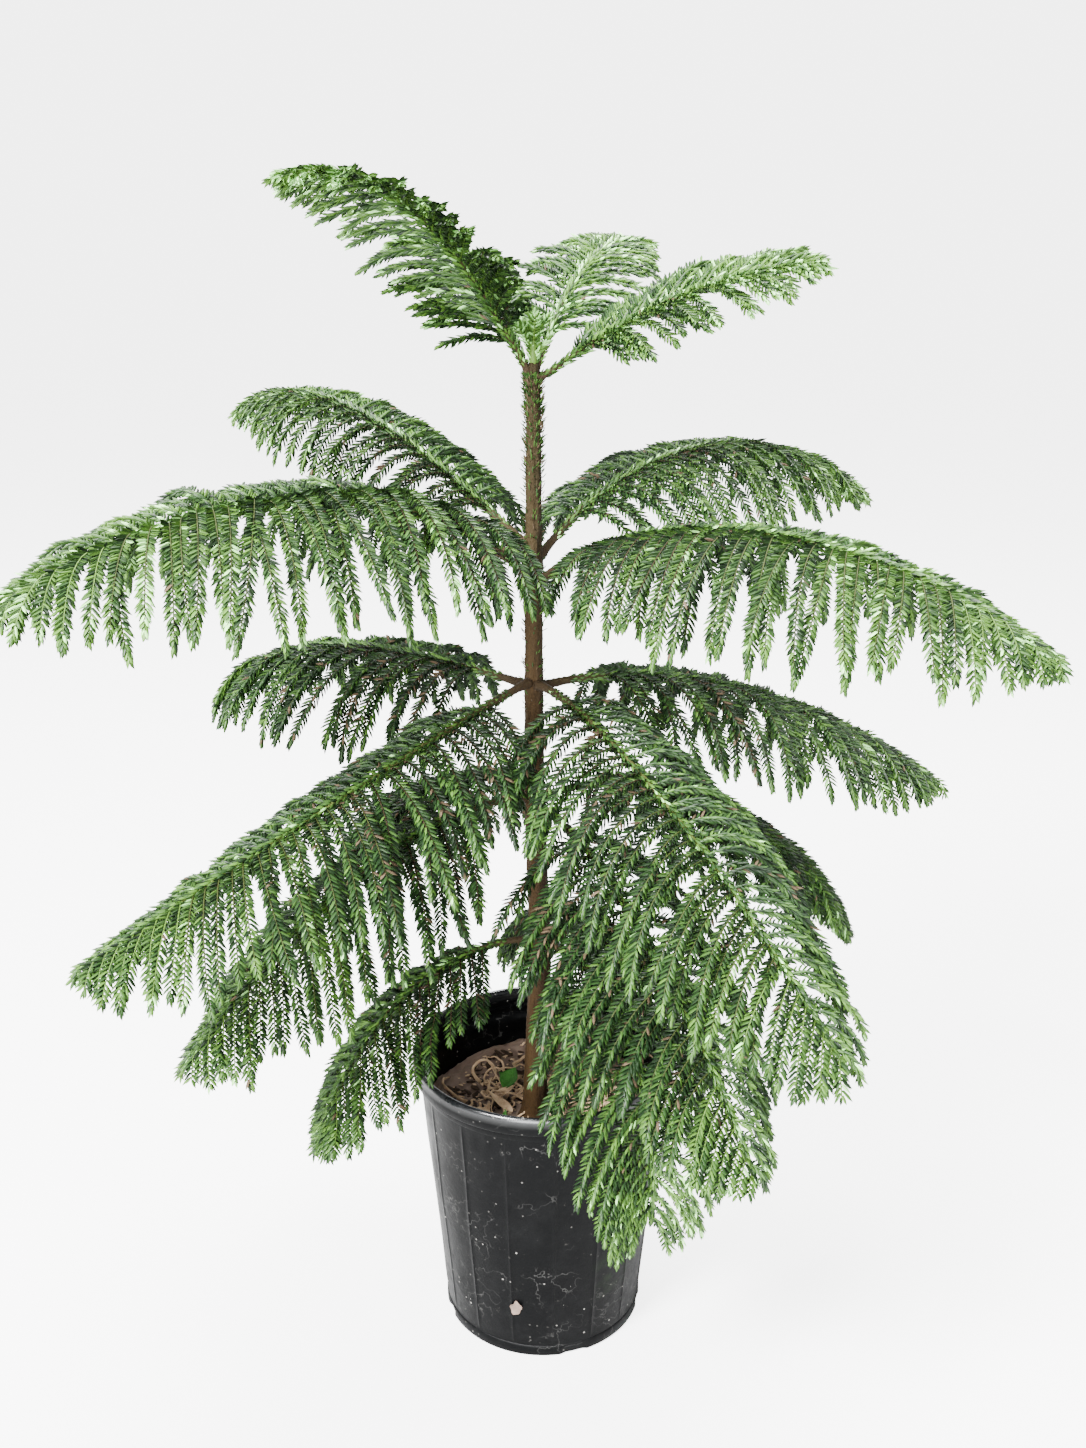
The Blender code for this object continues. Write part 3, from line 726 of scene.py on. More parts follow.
BRIGHTENING = (NeedleTint.DEEP, NeedleTint.SHADE, NeedleTint.LEAF, NeedleTint.FRESH,
               NeedleTint.YOUNG)
DEAD_TONE = -1.0
"""Brightness step of dead needles, below those of live ones."""


# -------------------------------------------------------------------------------------- plans

@dataclass(frozen=True)
class Whorl:
    """One tier of boughs. Angles are in degrees, lengths in metres."""

    limb_radius: float     # of a limb at the trunk
    bare: float            # share of the bough's length with no branchlets
    branchlet: float       # length of its longest branchlets
    spacing: float         # between them, along a rank
    splay: float           # between a branchlet's start and the bough's axis
    splay_tip: float       # the same at the bough's tip
    lift: float            # branchlet's start above the plane of axis and side
    hang: float            # branchlet's tip below that plane
    tone: float            # brightness step of its innermost needles


@dataclass(frozen=True)
class Bough:
    """One bough's axis. Angles are in degrees, lengths in metres."""

    name: str
    azimuth: float         # direction halfway along, from +X towards +Y
    swing: float           # how far the direction turns from heel to tip
    height: float          # of its heel on the trunk
    length: float
    rise: float            # slope at the heel, above level
    droop: float           # slope at the tip, above level
    curve: float           # below 1 it bends early, above 1 late
    tail: float = 0.25     # length of the branchlets at its tip, as a share of the longest
    fade: float = 3.0      # how sharply the branchlets shorten towards the tip
    reach: float = 1.0     # length of its longest branchlets, over the whorl's
    loft: float = 1.0      # how high its branchlets start, over the whorl's lift
    inner: float = 0.6     # length of its innermost branchlets, as a share of the longest
    roll: float = 0.0      # its two ranks' turn about the axis, right-hand rank down


WHORLS = {
    "tier1": Whorl(0.0031, 0.11, 0.100, 0.0090, 58, 30, 8, 32, 1.45),
    "tier2": Whorl(0.0047, 0.10, 0.165, 0.0116, 84, 38, 30, 74, 0.9),
    "tier3": Whorl(0.0047, 0.11, 0.160, 0.0116, 82, 38, 28, 76, 0.5),
    "tier4": Whorl(0.0043, 0.15, 0.152, 0.0118, 80, 38, 22, 78, 0.4),
    "tier5": Whorl(0.0038, 0.13, 0.132, 0.0118, 76, 38, 12, 80, 0.6),
}

BOUGHS = {
    "tier1": (
        Bough("front_left", 213, 8, 0.959, 0.294, 58, -16, 2.0, 0.12, 2.5, 1.08, 0.5, 0.7, 7),
        Bough("right", -10, 2, 0.953, 0.260, 34, 4, 1.5, 0.15, 3.0, 0.95, 3.5, 0.6, 23),
        Bough("back_right", 64, 7, 0.960, 0.252, 55, -2, 1.1, 0.15, 3.0, 0.82, 3.0, 0.7, 8),
        Bough("back_left", 136, -6, 0.959, 0.178, 56, 24, 1.2),
    ),
    "tier2": (
        Bough("front_left", 213, -10, 0.777, 0.482, 55, -26, 0.60, 0.22, 4.0, 1.22, 1.5),
        Bough("back_left", 139, -17, 0.806, 0.450, 34, -28, 1.85, 0.12, 2.0, 0.85, 1.3),
        Bough("front_right", -32, 16, 0.775, 0.490, 39, -33, 0.78, 0.12, 3.5, 1.0, 0.8, 0.42),
        Bough("back_right", 37, -17, 0.795, 0.473, 39, -34, 1.0, 0.12, 2.5),
    ),
    "tier3": (
        Bough("back_left", 146, -24, 0.677, 0.406, 10, -39, 1.54, 0.12),
        Bough("front_left", 215, -35, 0.681, 0.470, -5, -30, 0.6, 0.20, 3.5, 1.0, 0.6),
        Bough("back_right", 19, -5, 0.675, 0.478, 14, -36, 0.55, 0.15),
        Bough("front_right", -53, 15, 0.679, 0.458, 9, -47, 0.5, 0.20, 4.0),
    ),
    "tier4": (
        Bough("front_left", 210, 5, 0.568, 0.405, 22, -50, 0.42, 0.15, 3.0),
        Bough("back_right", 25, -4, 0.568, 0.445, 10, -63, 0.84, 0.20),
        Bough("front_right", -58, 11, 0.560, 0.412, 15, -58, 0.55, 0.15, 3.5),
        Bough("back_left", 124, -8, 0.570, 0.372, 8, -52, 0.7),
    ),
    "tier5": (
        Bough("left", 204, 14, 0.426, 0.308, 10, -76, 0.74, 0.12, 3.0, 0.95, 1.0, 0.35),
        Bough("front", -64, -18, 0.424, 0.329, 16, -105, 0.96, 0.40, 4.0, 1.0, 1.0, 0.40),
        Bough("right", 4, -20, 0.423, 0.253, 28, -83, 0.64),
        Bough("back", 78, 10, 0.428, 0.250, 16, -70, 0.7),
    ),
}


# ---------------------------------------------------------------------------------------- pot

@dataclass
class NurseryPot:
    """The black pot: foot band, panelled taper, collar with a grip, rolled rim, ridged throat."""

    height: float = 0.293
    foot_radius: float = 0.1015
    wall_top_radius: float = 0.1240
    rim_radius: float = 0.1325
    mean_radius: float = 0.115
    wall: float = 0.0025
    floor: float = 0.004
    foot_band: float = 0.012
    foot_step: float = 0.0009
    wall_rings: int = 30
    band_low: float = 0.2745
    collar_low: float = 0.2640
    collar_step: float = 0.0014
    panels: int = 16
    panel_turn: float = 0.10        # angle of the first panel's edge, in radians
    panel_lip: float = 0.0007       # how far a panel's edge stands out
    dent: float = 0.0009
    grip_turn: float = math.radians(-114.0)
    grip_height: float = 0.2545
    notches: tuple[tuple[float, float], ...] = (
        (-160.0, 0.010), (-72.0, 0.013), (-12.0, 0.010), (100.0, 0.013))   # degrees, half width
    notch_depth: float = 0.0022

    def wall_radius(self, height: Array | float) -> Array | float:
        """Outer radius of the plain wall at a height."""
        share = (height - self.foot_band) / (self.collar_low - self.foot_band)
        return self.foot_radius + (self.wall_top_radius - self.foot_radius) * share

    def angles(self) -> Array:
        """Directions round the pot, closer together at each panel's edge."""
        local = np.array([-0.040, -0.018, -0.006, 0.006, 0.018, 0.040, 0.10, 0.18, 0.26, 0.34,
                          0.42, 0.50, 0.58, 0.66, 0.74, 0.82, 0.90])
        return self.panel_turn + (np.arange(self.panels)[:, None] + local).ravel() * (
            math.tau / self.panels)

    def foot(self) -> list[tuple[float, float]]:
        """The profile from the middle of the underside to the top of the foot band.

        Returns:
            Pairs of radius and height.
        """
        edge = self.wall_radius(self.foot_band)
        band = edge + self.foot_step
        return [(0.001, 0.0), (0.05, 0.0), (self.foot_radius - 0.0035, 0.0),
                (self.foot_radius - 0.0012, 0.0003), (band - 0.0004, 0.0012), (band, 0.0030),
                (band, 0.0070), (band, self.foot_band - 0.0012),
                (band - 0.0003, self.foot_band - 0.0003), (edge, self.foot_band + 0.0004)]

    def profile(self) -> Array:
        """The profile up the outside, over the rim and down the ridged inside.

        Returns:
            Radius and height, rings × 2.
        """
        foot, collar = self.wall_radius(self.foot_band), self.wall_radius(self.collar_low)
        throat, rim, top = collar - self.wall, self.rim_radius, self.height
        rise = np.linspace(self.foot_band + 0.002, self.collar_low - 0.002, self.wall_rings)
        outside = [(self.wall_radius(z), z) for z in rise]
        step = collar + self.collar_step
        lip = [(collar, self.collar_low), (step - 0.0003, self.collar_low + 0.0004),
               (step, self.collar_low + 0.0012), (step + 0.0004, self.collar_low + 0.0050),
               (step + 0.0008, self.band_low - 0.0008), (step + 0.0010, self.band_low - 0.0001),
               (rim - 0.0030, self.band_low), (rim - 0.0012, self.band_low + 0.0002),
               (rim - 0.0004, self.band_low + 0.0012), (rim - 0.0002, self.band_low + 0.0060),
               (rim, top - 0.0075), (rim, top - 0.0042), (rim - 0.0006, top - 0.0020),
               (rim - 0.0016, top - 0.0007), (rim - 0.0030, top), (rim - 0.0045, top - 0.0002),
               (rim - 0.0058, top - 0.0012), (rim - 0.0066, top - 0.0030)]
        inside = [(throat + 0.0038, top - 0.0085)]
        for ridge in (top - 0.0120, top - 0.0200):
            inside += [(throat + 0.0034, ridge + 0.0012), (throat + 0.0024, ridge),
                       (throat + 0.0032, ridge - 0.0014)]
        inside += [(throat + 0.0028, self.collar_low + 0.0020), (throat, self.collar_low - 0.0010),
                   (throat - 0.0012, 0.2520), (throat - 0.0004, 0.2505), (throat - 0.0016, 0.2400)]
        fall = np.linspace(0.2300, self.floor + 0.004, 12)
        inside += [(self.wall_radius(z) - self.wall, z) for z in fall]
        inside += [(foot - self.wall - 0.004, self.floor), (0.05, self.floor), (0.001, self.floor)]
        return np.array(self.foot() + outside + lip + inside)

    def arc(self, turn: Array, middle: float, radius: float) -> Array:
        """Length round the pot from a direction, at a radius."""
        return (np.mod(turn - middle + math.pi, math.tau) - math.pi) * radius

    def push(self, profile: Array, angles: Array) -> Array:
        """Extra radius: panel edges, faint dents, the grip under the collar and foot notches.

        Panel edges are narrow bells in angle; the grip is a soft-edged box pressed in, with a
        raised bead in it; the notches are soft boxes in the foot band.

        Args:
            profile: The plain profile, rings × 2.
            angles: Directions round the pot, in radians.

        Returns:
            Extra radius, rings × angles.
        """
        height, turn = profile[:, 1:2], angles[None]
        outer = np.arange(len(profile))[:, None] < len(self.foot()) + self.wall_rings
        panel = (turn - self.panel_turn) / (math.tau / self.panels)
        from_edge = (panel - np.round(panel)) * math.tau / self.panels * self.mean_radius
        on_wall = ease(height, 0.014, 0.020) * (1 - ease(height, 0.254, 0.260)) * outer
        lips = self.panel_lip * bump(from_edge, 0.0, 0.0013) * on_wall
        around = points_at(np.cos(turn), np.sin(turn), height * 8.0)
        dents = self.dent * LatticeNoise(SEED)(around, 1.6, 2) * on_wall
        arc = self.arc(turn, self.grip_turn, 0.122)
        from_grip = np.abs(height - self.grip_height)
        box = ease(0.0185 - np.abs(arc), 0.0, 0.003) * ease(0.0065 - from_grip, 0.0, 0.002) * outer
        bead = bump(arc, -0.004, 0.0035) * bump(height, self.grip_height, 0.0030) * outer
        notches = np.zeros_like(arc)
        for middle, half in self.notches:
            gap = self.arc(turn, math.radians(middle), 0.102)
            notches = notches - self.notch_depth * ease(half - np.abs(gap), 0.0, 0.003)
        notches = notches * ease(0.0095 - height, 0.0, 0.0015) * outer * (profile[:, :1] > 0.09)
        return lips + dents + (-0.0013 * box + 0.0016 * bead) + notches

    def build(self) -> None:
        """Makes the pot's piece."""
        profile, angles = self.profile(), self.angles()
        shell = grid_shell(turned(profile, angles, self.push(profile, angles)))
        add_piece("pot_shell", shell, PotPlastic("pot_plastic"), ("nursery_pot",), 38.0)

    def scrap(self) -> None:
        """A pale scrap of dried leaf stuck to the wall low on the front left.

        It is a disc of rings, share · (half width · cos a, half height · sin a), with a wavy
        edge, laid on the wall and lifted at its edge by share².
        """
        turn = full_turn(24)
        share = np.linspace(0.04, 1.0, 9)[:, None]
        edge = 1 + 0.16 * np.sin(2 * turn + 0.6) + 0.12 * np.sin(5 * turn)
        across, up = share * 0.0055 * edge * np.cos(turn), share * 0.0085 * edge * np.sin(turn)
        lift = 0.0004 + 0.0010 * share ** 2 * (1 + np.sin(3 * turn))
        z = 0.060 + up
        angle = math.radians(-104.5) + across / 0.107
        under, over = (self.wall_radius(z) + lift + side for side in (0.0, 0.0006))
        under, over = (points_at(r * np.cos(angle), r * np.sin(angle), z) for r in (under, over))
        add_piece("pot_scrap", grid_shell(np.concatenate([under, over[::-1]]), True),
                  Litter.SCRAP.value)


# --------------------------------------------------------------------------------------- soil

@dataclass
class PottingMix:
    """The potting mix and the litter that lies on it."""

    pot: NurseryPot
    top: float = MIX_TOP
    clear: float = 0.0006           # gap to the pot
    swell: float = 0.005            # height of the lumps
    chip_reach: float = 0.098       # furthest place of a chip from the pot's axis
    stem_reach: float = 0.082       # the same for a stem's foot
    stem_room: float = 0.103        # the same for the rest of a stem
    chips: int = 340
    stems: int = 84

    def height(self, x: Array, y: Array, fine: bool = True) -> Array:
        """The mix's top: flat at the trunk's foot, lumpy away from it, with crumbs where fine.

        Height = top + share · swell · lumps + crumbs: share grows from 0 to 1 away from the
        trunk, lumps are products and sums of sines of x and y, crumbs are two noises.

        Args:
            x: Places.
            y: The same.
            fine: Whether crumbs are added.

        Returns:
            The height at each place.
        """
        away = np.hypot(x - TRUNK_FOOT[0], y - TRUNK_FOOT[1])
        share = np.clip((away - 0.024) / 0.05, 0.0, 1.0)
        lumps = np.sin(61 * x + 1.3) * np.cos(53 * y - 0.6) + 0.5 * np.sin(97 * x - 71 * y)
        surface = self.top + share * self.swell * (lumps / 1.5 - 0.35)
        if fine:
            flat, noise = points_at(x, y, 0.0), LatticeNoise(SEED + 2)
            crumbs = 0.0016 * noise(flat, 150.0, 2) + 0.0011 * noise(flat, 420.0, 2)
            surface = surface + crumbs * (0.35 + 0.65 * share)
        return surface

    def shell(self) -> Shell:
        """The mix as one surface: floor disc, tapered side, and rings that follow its top.

        Returns:
            The closed surface.
        """
        low = self.pot.floor + self.clear
        inset = self.pot.wall + self.clear
        high = self.top - self.swell
        side = [(0.001, low), (0.05, low), (self.pot.wall_radius(low) - inset - 0.001, low)]
        side += [(self.pot.wall_radius(z) - inset, z) for z in np.linspace(0.02, high, 5)]
        top = [(side[-1][0] * share, high) for share in np.linspace(0.992, 0.012, 62)]
        points = turned(np.array(side + top), full_turn(150))
        upper, edge = points[len(side):], points[len(side) - 1]
        upper[..., 2] = self.height(upper[..., 0], upper[..., 1])
        edge[:, 2] = self.height(edge[:, 0], edge[:, 1], False) - 0.0008
        return grid_shell(points)

    def scattered(self, count: int, chance: np.random.Generator, reach: float) -> Array:
        """Places evenly spread on the mix, in the pot and off the trunk's foot.

        Args:
            count: The most that are wanted.
            chance: The random source.
            reach: Their furthest place from the pot's axis.

        Returns:
            Places, count × 2.
        """
        radius = reach * np.sqrt(chance.random(count * 2))
        turn = chance.random(count * 2) * math.tau
        spots = np.stack([radius * np.cos(turn), radius * np.sin(turn)], -1)
        off = np.hypot(spots[:, 0] - TRUNK_FOOT[0], spots[:, 1] - TRUNK_FOOT[1]) > 0.020
        return spots[off][:count]

    def chip_shell(self, chance: np.random.Generator, size: tuple[float, float]) -> Shell:
        """Broken chips: flattened six-sided tubes of four uneven rings, at random turns.

        Args:
            chance: The random source.
            size: Their least and greatest length.

        Returns:
            All of them.
        """
        spots = self.scattered(self.chips, chance, self.chip_reach)
        count = len(spots)
        length = chance.uniform(*size, count)
        turn = chance.uniform(0, math.tau, count)
        tilt = chance.uniform(-0.35, 0.35, count)
        way = points_at(np.cos(turn) * np.cos(tilt), np.sin(turn) * np.cos(tilt), np.sin(tilt))
        ground = self.height(spots[:, 0], spots[:, 1])
        middle = points_at(spots[:, 0], spots[:, 1], ground + length * 0.10)
        along = np.linspace(-0.5, 0.5, 4)
        paths = middle[:, None] + way[:, None] * along[:, None] * length[:, None, None]
        widths = np.array([0.12, 0.25, 0.22, 0.10])
        radii = length[:, None] * widths * chance.uniform(0.8, 1.2, (count, 4))
        relief = length[:, None, None] * chance.uniform(-0.06, 0.06, (count, 4, 6))
        return tubes(paths, radii, np.cross(way, UP)[:, None], 6, 0.45, relief)

    def stem_shell(self, chance: np.random.Generator) -> Shell:
        """Dry stems: arcs that curl over the mix, from straight to a full loop, tapering.

        The direction grows evenly along a stem, which keeps inside the pot, and its height is
        the mix's + an arch of sin² + a ripple.

        Args:
            chance: The random source.

        Returns:
            All of them.
        """
        spots = self.scattered(self.stems, chance, self.stem_reach)
        count, steps = len(spots), 26
        length = chance.uniform(0.022, 0.075, count)
        curl = chance.uniform(-5.0, 5.0, count) * length / 0.06
        share = np.linspace(0, 1, steps)
        turn = chance.uniform(0, math.tau, count)[:, None] + curl[:, None] * share
        run = (length / steps)[:, None]
        x = spots[:, :1] + np.cumsum(np.cos(turn) * run, 1)
        y = spots[:, 1:] + np.cumsum(np.sin(turn) * run, 1)
        room = np.minimum(1.0, self.stem_room / np.maximum(np.hypot(x, y), 1e-6))
        x, y = x * room, y * room
        arch = chance.uniform(0.001, 0.010, count)[:, None] * np.sin(math.pi * share) ** 2
        ripple = 0.0015 * np.sin(9 * share + turn[:, :1])
        z = self.height(x, y, False) + 0.0016 + arch + np.abs(ripple)
        thick = chance.uniform(0.0010, 0.0020, count)[:, None] * (1 - 0.6 * share)
        return tubes(points_at(x, y, z), thick, UP, 6)

    def leaf_shell(self, x: float, y: float, turn: float, length: float, width: float,
                   curl: float, lift: float, rise: float = 0.004) -> Shell:
        """A thin leaf: a blade that is widest near its foot, folded at the rib and curled.

        Half width = width · sin(π t^0.7) ; height = lift · t + fold · |across| + curl · t².

        Args:
            x: Place of its foot.
            y: The same.
            turn: Its direction, in radians.
            length: Its length.
            width: Half its greatest width.
            curl: How far its tip curls up.
            lift: How far it rises evenly.
            rise: Its foot's height over the mix.

        Returns:
            The leaf as a closed surface.
        """
        t = np.linspace(0.02, 0.98, 16)[:, None]
        across = np.linspace(-1, 1, 9)[None]
        half = width * np.sin(math.pi * t ** 0.7)
        along = t * length
        base = float(self.height(np.array(x), np.array(y), False)) + rise
        under, over = (
            points_at(x + along * math.cos(turn) - half * across * math.sin(turn),
                      y + along * math.sin(turn) + half * across * math.cos(turn),
                      base + lift * t + 0.25 * half * np.abs(across) * 2 + curl * t * t + thick)
            for thick in (0.0, 0.0004))
        return grid_shell(np.concatenate([over, under[:, ::-1]], 1), True)

    def build(self) -> None:
        """Makes the mix and its litter."""
        add_piece("soil_mix", self.shell(), SoilFinish("soil"), ("potting_mix",), SMOOTH)
        chance = np.random.default_rng(SEED + 3)
        add_piece("litter_chips_dark", self.chip_shell(chance, (0.004, 0.013)),
                  Litter.DARK_CHIP.value)
        add_piece("litter_chips_pale", self.chip_shell(chance, (0.0025, 0.008)),
                  Litter.PALE_CHIP.value)
        add_piece("litter_stems", self.stem_shell(chance), Litter.STEM.value, (), SMOOTH)
        leaves = ((-0.052, -0.012, 0.5, 0.028, 0.006, 0.006, 0.004),
                  (-0.030, -0.036, 2.6, 0.030, 0.006, 0.010, 0.006),
                  (-0.062, -0.052, 1.2, 0.024, 0.005, 0.004, 0.004),
                  (0.030, 0.040, 0.2, 0.026, 0.006, 0.006, 0.002))
        weeds = ((-0.040, 0.000, 1.0, 0.022, 0.010, 0.004, 0.010, 0.010),
                 (-0.032, 0.008, 2.6, 0.016, 0.007, 0.004, 0.006, 0.010),
                 (-0.040, -0.058, 1.3, 0.012, 0.003, 0.004, 0.008, 0.003),
                 (-0.040, -0.058, 2.9, 0.012, 0.003, 0.004, 0.008, 0.003))
        for name, plans, look in (("litter_leaves", leaves, Litter.STEM),
                                  ("weed_leaves", weeds, Litter.WEED)):
            shell = joined([self.leaf_shell(*plan) for plan in plans])
            add_piece(name, shell, look.value, (), SMOOTH)


# -------------------------------------------------------------------------------------- trunk

@dataclass
class Trunk:
    """The trunk, with its bark's relief, from the mix to its rounded tip."""

    low: float = MIX_TOP
    high: float = 0.966
    sway: float = 0.0055
    foot_radius: float = 0.0118
    tip_radius: float = 0.0062
    flare: float = 0.0030
    dome: float = 0.012
    nodes: tuple[float, ...] = (0.425, 0.566, 0.678, 0.788)     # heights of the lower whorls
    rings: int = 620
    sides: int = 40

    def centre(self, height: Array | float) -> Array:
        """Middle of the trunk: a lean back to the pot's middle with one soft bow.

        x = foot + sway · bell of the height and y = foot · (1 − share)^1.3.

        Args:
            height: Heights above the floor.

        Returns:
            Points, with x, y, z along the last axis.
        """
        height = np.asarray(height, float)
        share = (height - self.low) / (self.high - self.low)
        return points_at(TRUNK_FOOT[0] + self.sway * bump(share, 0.24, 0.15),
                         TRUNK_FOOT[1] * np.maximum(0.0, 1 - share) ** 1.3, height)

    def radius(self, height: Array | float) -> Array:
        """Plain radius: taper, root flare and the dome at the tip.

        Radius = (foot + (tip − foot) · share^1.15) · dome + flare · exp(−height over the mix).

        Args:
            height: Heights above the floor.

        Returns:
            The radius at each.
        """
        height = np.asarray(height, float)
        share = np.maximum(0.0, height - self.low) / (self.high - self.low)
        plain = self.foot_radius + (self.tip_radius - self.foot_radius) * share ** 1.15
        into = np.maximum(0.0, height - (self.high - self.dome)) / self.dome
        dome = np.sqrt(np.maximum(0.1, 1 - 0.68 * into ** 2))
        return plain * dome + self.flare * np.exp(-(height - self.low) / 0.035 * 3)

    def relief(self, height: Array, turn: Array) -> Array:
        """Bark relief: fissures that run up, fine rings, collars at the whorls and roots.

        Fissures are noise drawn out along the trunk; rings are a sine of the height, bent by
        noise; a collar is a bell of the height; roots are a cosine of the turn at the foot.

        Args:
            height: Heights, which broadcast with the turns.
            turn: Directions round the trunk, in radians.

        Returns:
            Extra radius.
        """
        noise = LatticeNoise(SEED + 5)
        drawn, close = (points_at(np.cos(turn), np.sin(turn), height * k) for k in (9.0, 60.0))
        fissures = -0.0010 * ease(noise(drawn, 3.2, 3), 0.15, 0.75)
        skin = 0.00035 * noise(close, 2.0, 2)
        bend = 2.5 * noise(drawn, 1.3)
        scars = 0.00030 * np.maximum(0.0, np.sin(height * 900.0 + bend)) ** 3
        collars = sum(0.0011 * bump(height, at, 0.006) for at in self.nodes)
        collars = collars * (1 + 0.35 * noise(drawn, 2.2))
        roots = 0.0030 * np.exp(-(height - self.low) / 0.011) * np.maximum(
            0.0, np.cos(2.5 * turn + 0.8)) ** 2
        return fissures + skin + scars + collars + roots

    def build(self) -> None:
        """Makes the trunk's piece."""
        height = np.concatenate([np.linspace(self.low - 0.003, self.high - self.dome, self.rings),
                                 self.high - self.dome * np.array([0.7, 0.4, 0.2, 0.08, 0.0])])
        relief = self.relief(height[:, None], -full_turn(self.sides)[None])
        shell = tubes(self.centre(height)[None], self.radius(height)[None],
                      np.array([1.0, 0.0, 0.0]), self.sides, 1.0, relief[None])
        add_piece("trunk_wood", shell, TrunkBark("trunk_bark"), ("trunk",), SMOOTH)


# ------------------------------------------------------------------------------------ needles

@dataclass
class TwigBatch:
    """Lines of many twigs, with what their needles need."""

    lines: Array        # twigs × points × 3
    across: Array       # twigs × 3, square to each twig's upright plane
    lengths: Array      # twigs
    tones: Array        # twigs, brightness step of their needles
    shares: Array       # twigs, place along the bough
    dry: Array          # twigs, true where dead


@dataclass(frozen=True)
class NeedleRule:
    """How needles stand round a twig. Lengths are in metres, angles in degrees."""

    step: float = 0.00100
    length: float = 0.0112
    width: float = 0.00285
    lean: float = 60.0          # from the twig, where a needle leaves it
    close: float = 43.0         # the same at the needle's tip
    paired: bool = True         # in the four rows of ROW_TURNS, or else all round
    stray: float = 9.0          # a needle's turn away from its row
    sunk: float = 0.0010        # how deep a needle's foot goes into the twig
    shade_and_glint_stray: float = 0.85       # a needle's stray from its spray's brightness step: painted self-shade and painted glints
    jitter: float = 0.35        # its stray along the twig, in steps
    wobble: float = 4.0         # stray of its lean and close
    tip_lean: float = 0.45      # how much the lean closes at the twig's tip
    tip_close: float = 0.70
    tip_loss: float = 0.30      # how much shorter needles are at the twig's tip
    tip_tone: float = 0.6       # how many steps brighter


ROW_TURNS = np.radians([34.0, -20.0, 146.0, 200.0])
"""Where the four rows stand round a twig: a pair to each side, above and below its flat plane."""

SPIRAL = 2.4
"""Turn from one needle to the next where they stand all round, in radians."""

NEEDLE_RUNS = (0.22, 0.44, 0.34)
"""Shares of a needle's length: foot to first girdle, on to the second, on to the tip."""

NEEDLE_GIRTHS = (0.85, 0.9)
"""Width of its girdles over its full width."""

NEEDLE_CORNERS = np.radians([30.0, 150.0, 270.0])

NEEDLE_FACES = np.array([(3, 2, 0), (1, 3, 0), (2, 3, 6), (2, 6, 5), (3, 1, 4), (3, 4, 6),
                         (5, 6, 7), (6, 4, 7)])

YOUNG_RULE = NeedleRule(step=0.00105, length=0.0116, width=0.00280, lean=54.0, close=36.0,
                        shade_and_glint_stray=1.0)
"""Needles of the youngest whorl."""


@dataclass
class NeedleBatch:
    """Needles gathered from twigs: one keeled blade of eight triangles each.

    A needle has a foot, two three-cornered girdles and a tip, and bends forward at the first
    girdle. Its side towards the twig is left open.
    """

    feet: Array
    first: Array        # direction up to the first girdle
    second: Array       # direction from there to the tip
    tangent: Array      # across the needle, round the twig
    lengths: Array
    widths: Array
    tones: Array

    @classmethod
    def gathered(cls, batches: list[NeedleBatch]) -> NeedleBatch:
        """Needle batches put together into one."""
        return cls(*(np.concatenate([getattr(b, f.name) for b in batches]) for f in fields(cls)))

    def chosen(self, which: Array) -> NeedleBatch:
        """Those needles alone where which is true."""
        return NeedleBatch(*(getattr(self, f.name)[which] for f in fields(self)))

    def shell(self) -> Shell:
        """The needles' surfaces, each from foot, girdle points and tip.

        Girdle point = place on the needle + girth · half width · (cos a · tangent + sin a · up).

        Returns:
            All of them as one shell.
        """
        length, half = self.lengths[:, None], self.widths[:, None] * 0.5
        near = self.feet + self.first * length * NEEDLE_RUNS[0]
        far = near + self.second * length * NEEDLE_RUNS[1]
        tip = far + self.second * length * NEEDLE_RUNS[2]
        up = np.cross(self.first, self.tangent)
        ring = [half * (math.cos(a) * self.tangent + math.sin(a) * up) for a in NEEDLE_CORNERS]
        girdles = [place + girth * corner for place, girth in zip((near, far), NEEDLE_GIRTHS)
                   for corner in ring]
        points = np.stack([self.feet, *girdles, tip], 1)
        shift = np.arange(len(self.feet))[:, None, None] * points.shape[1]
        return Shell(points.reshape(-1, 3), [(shift + NEEDLE_FACES).reshape(-1, 3)])


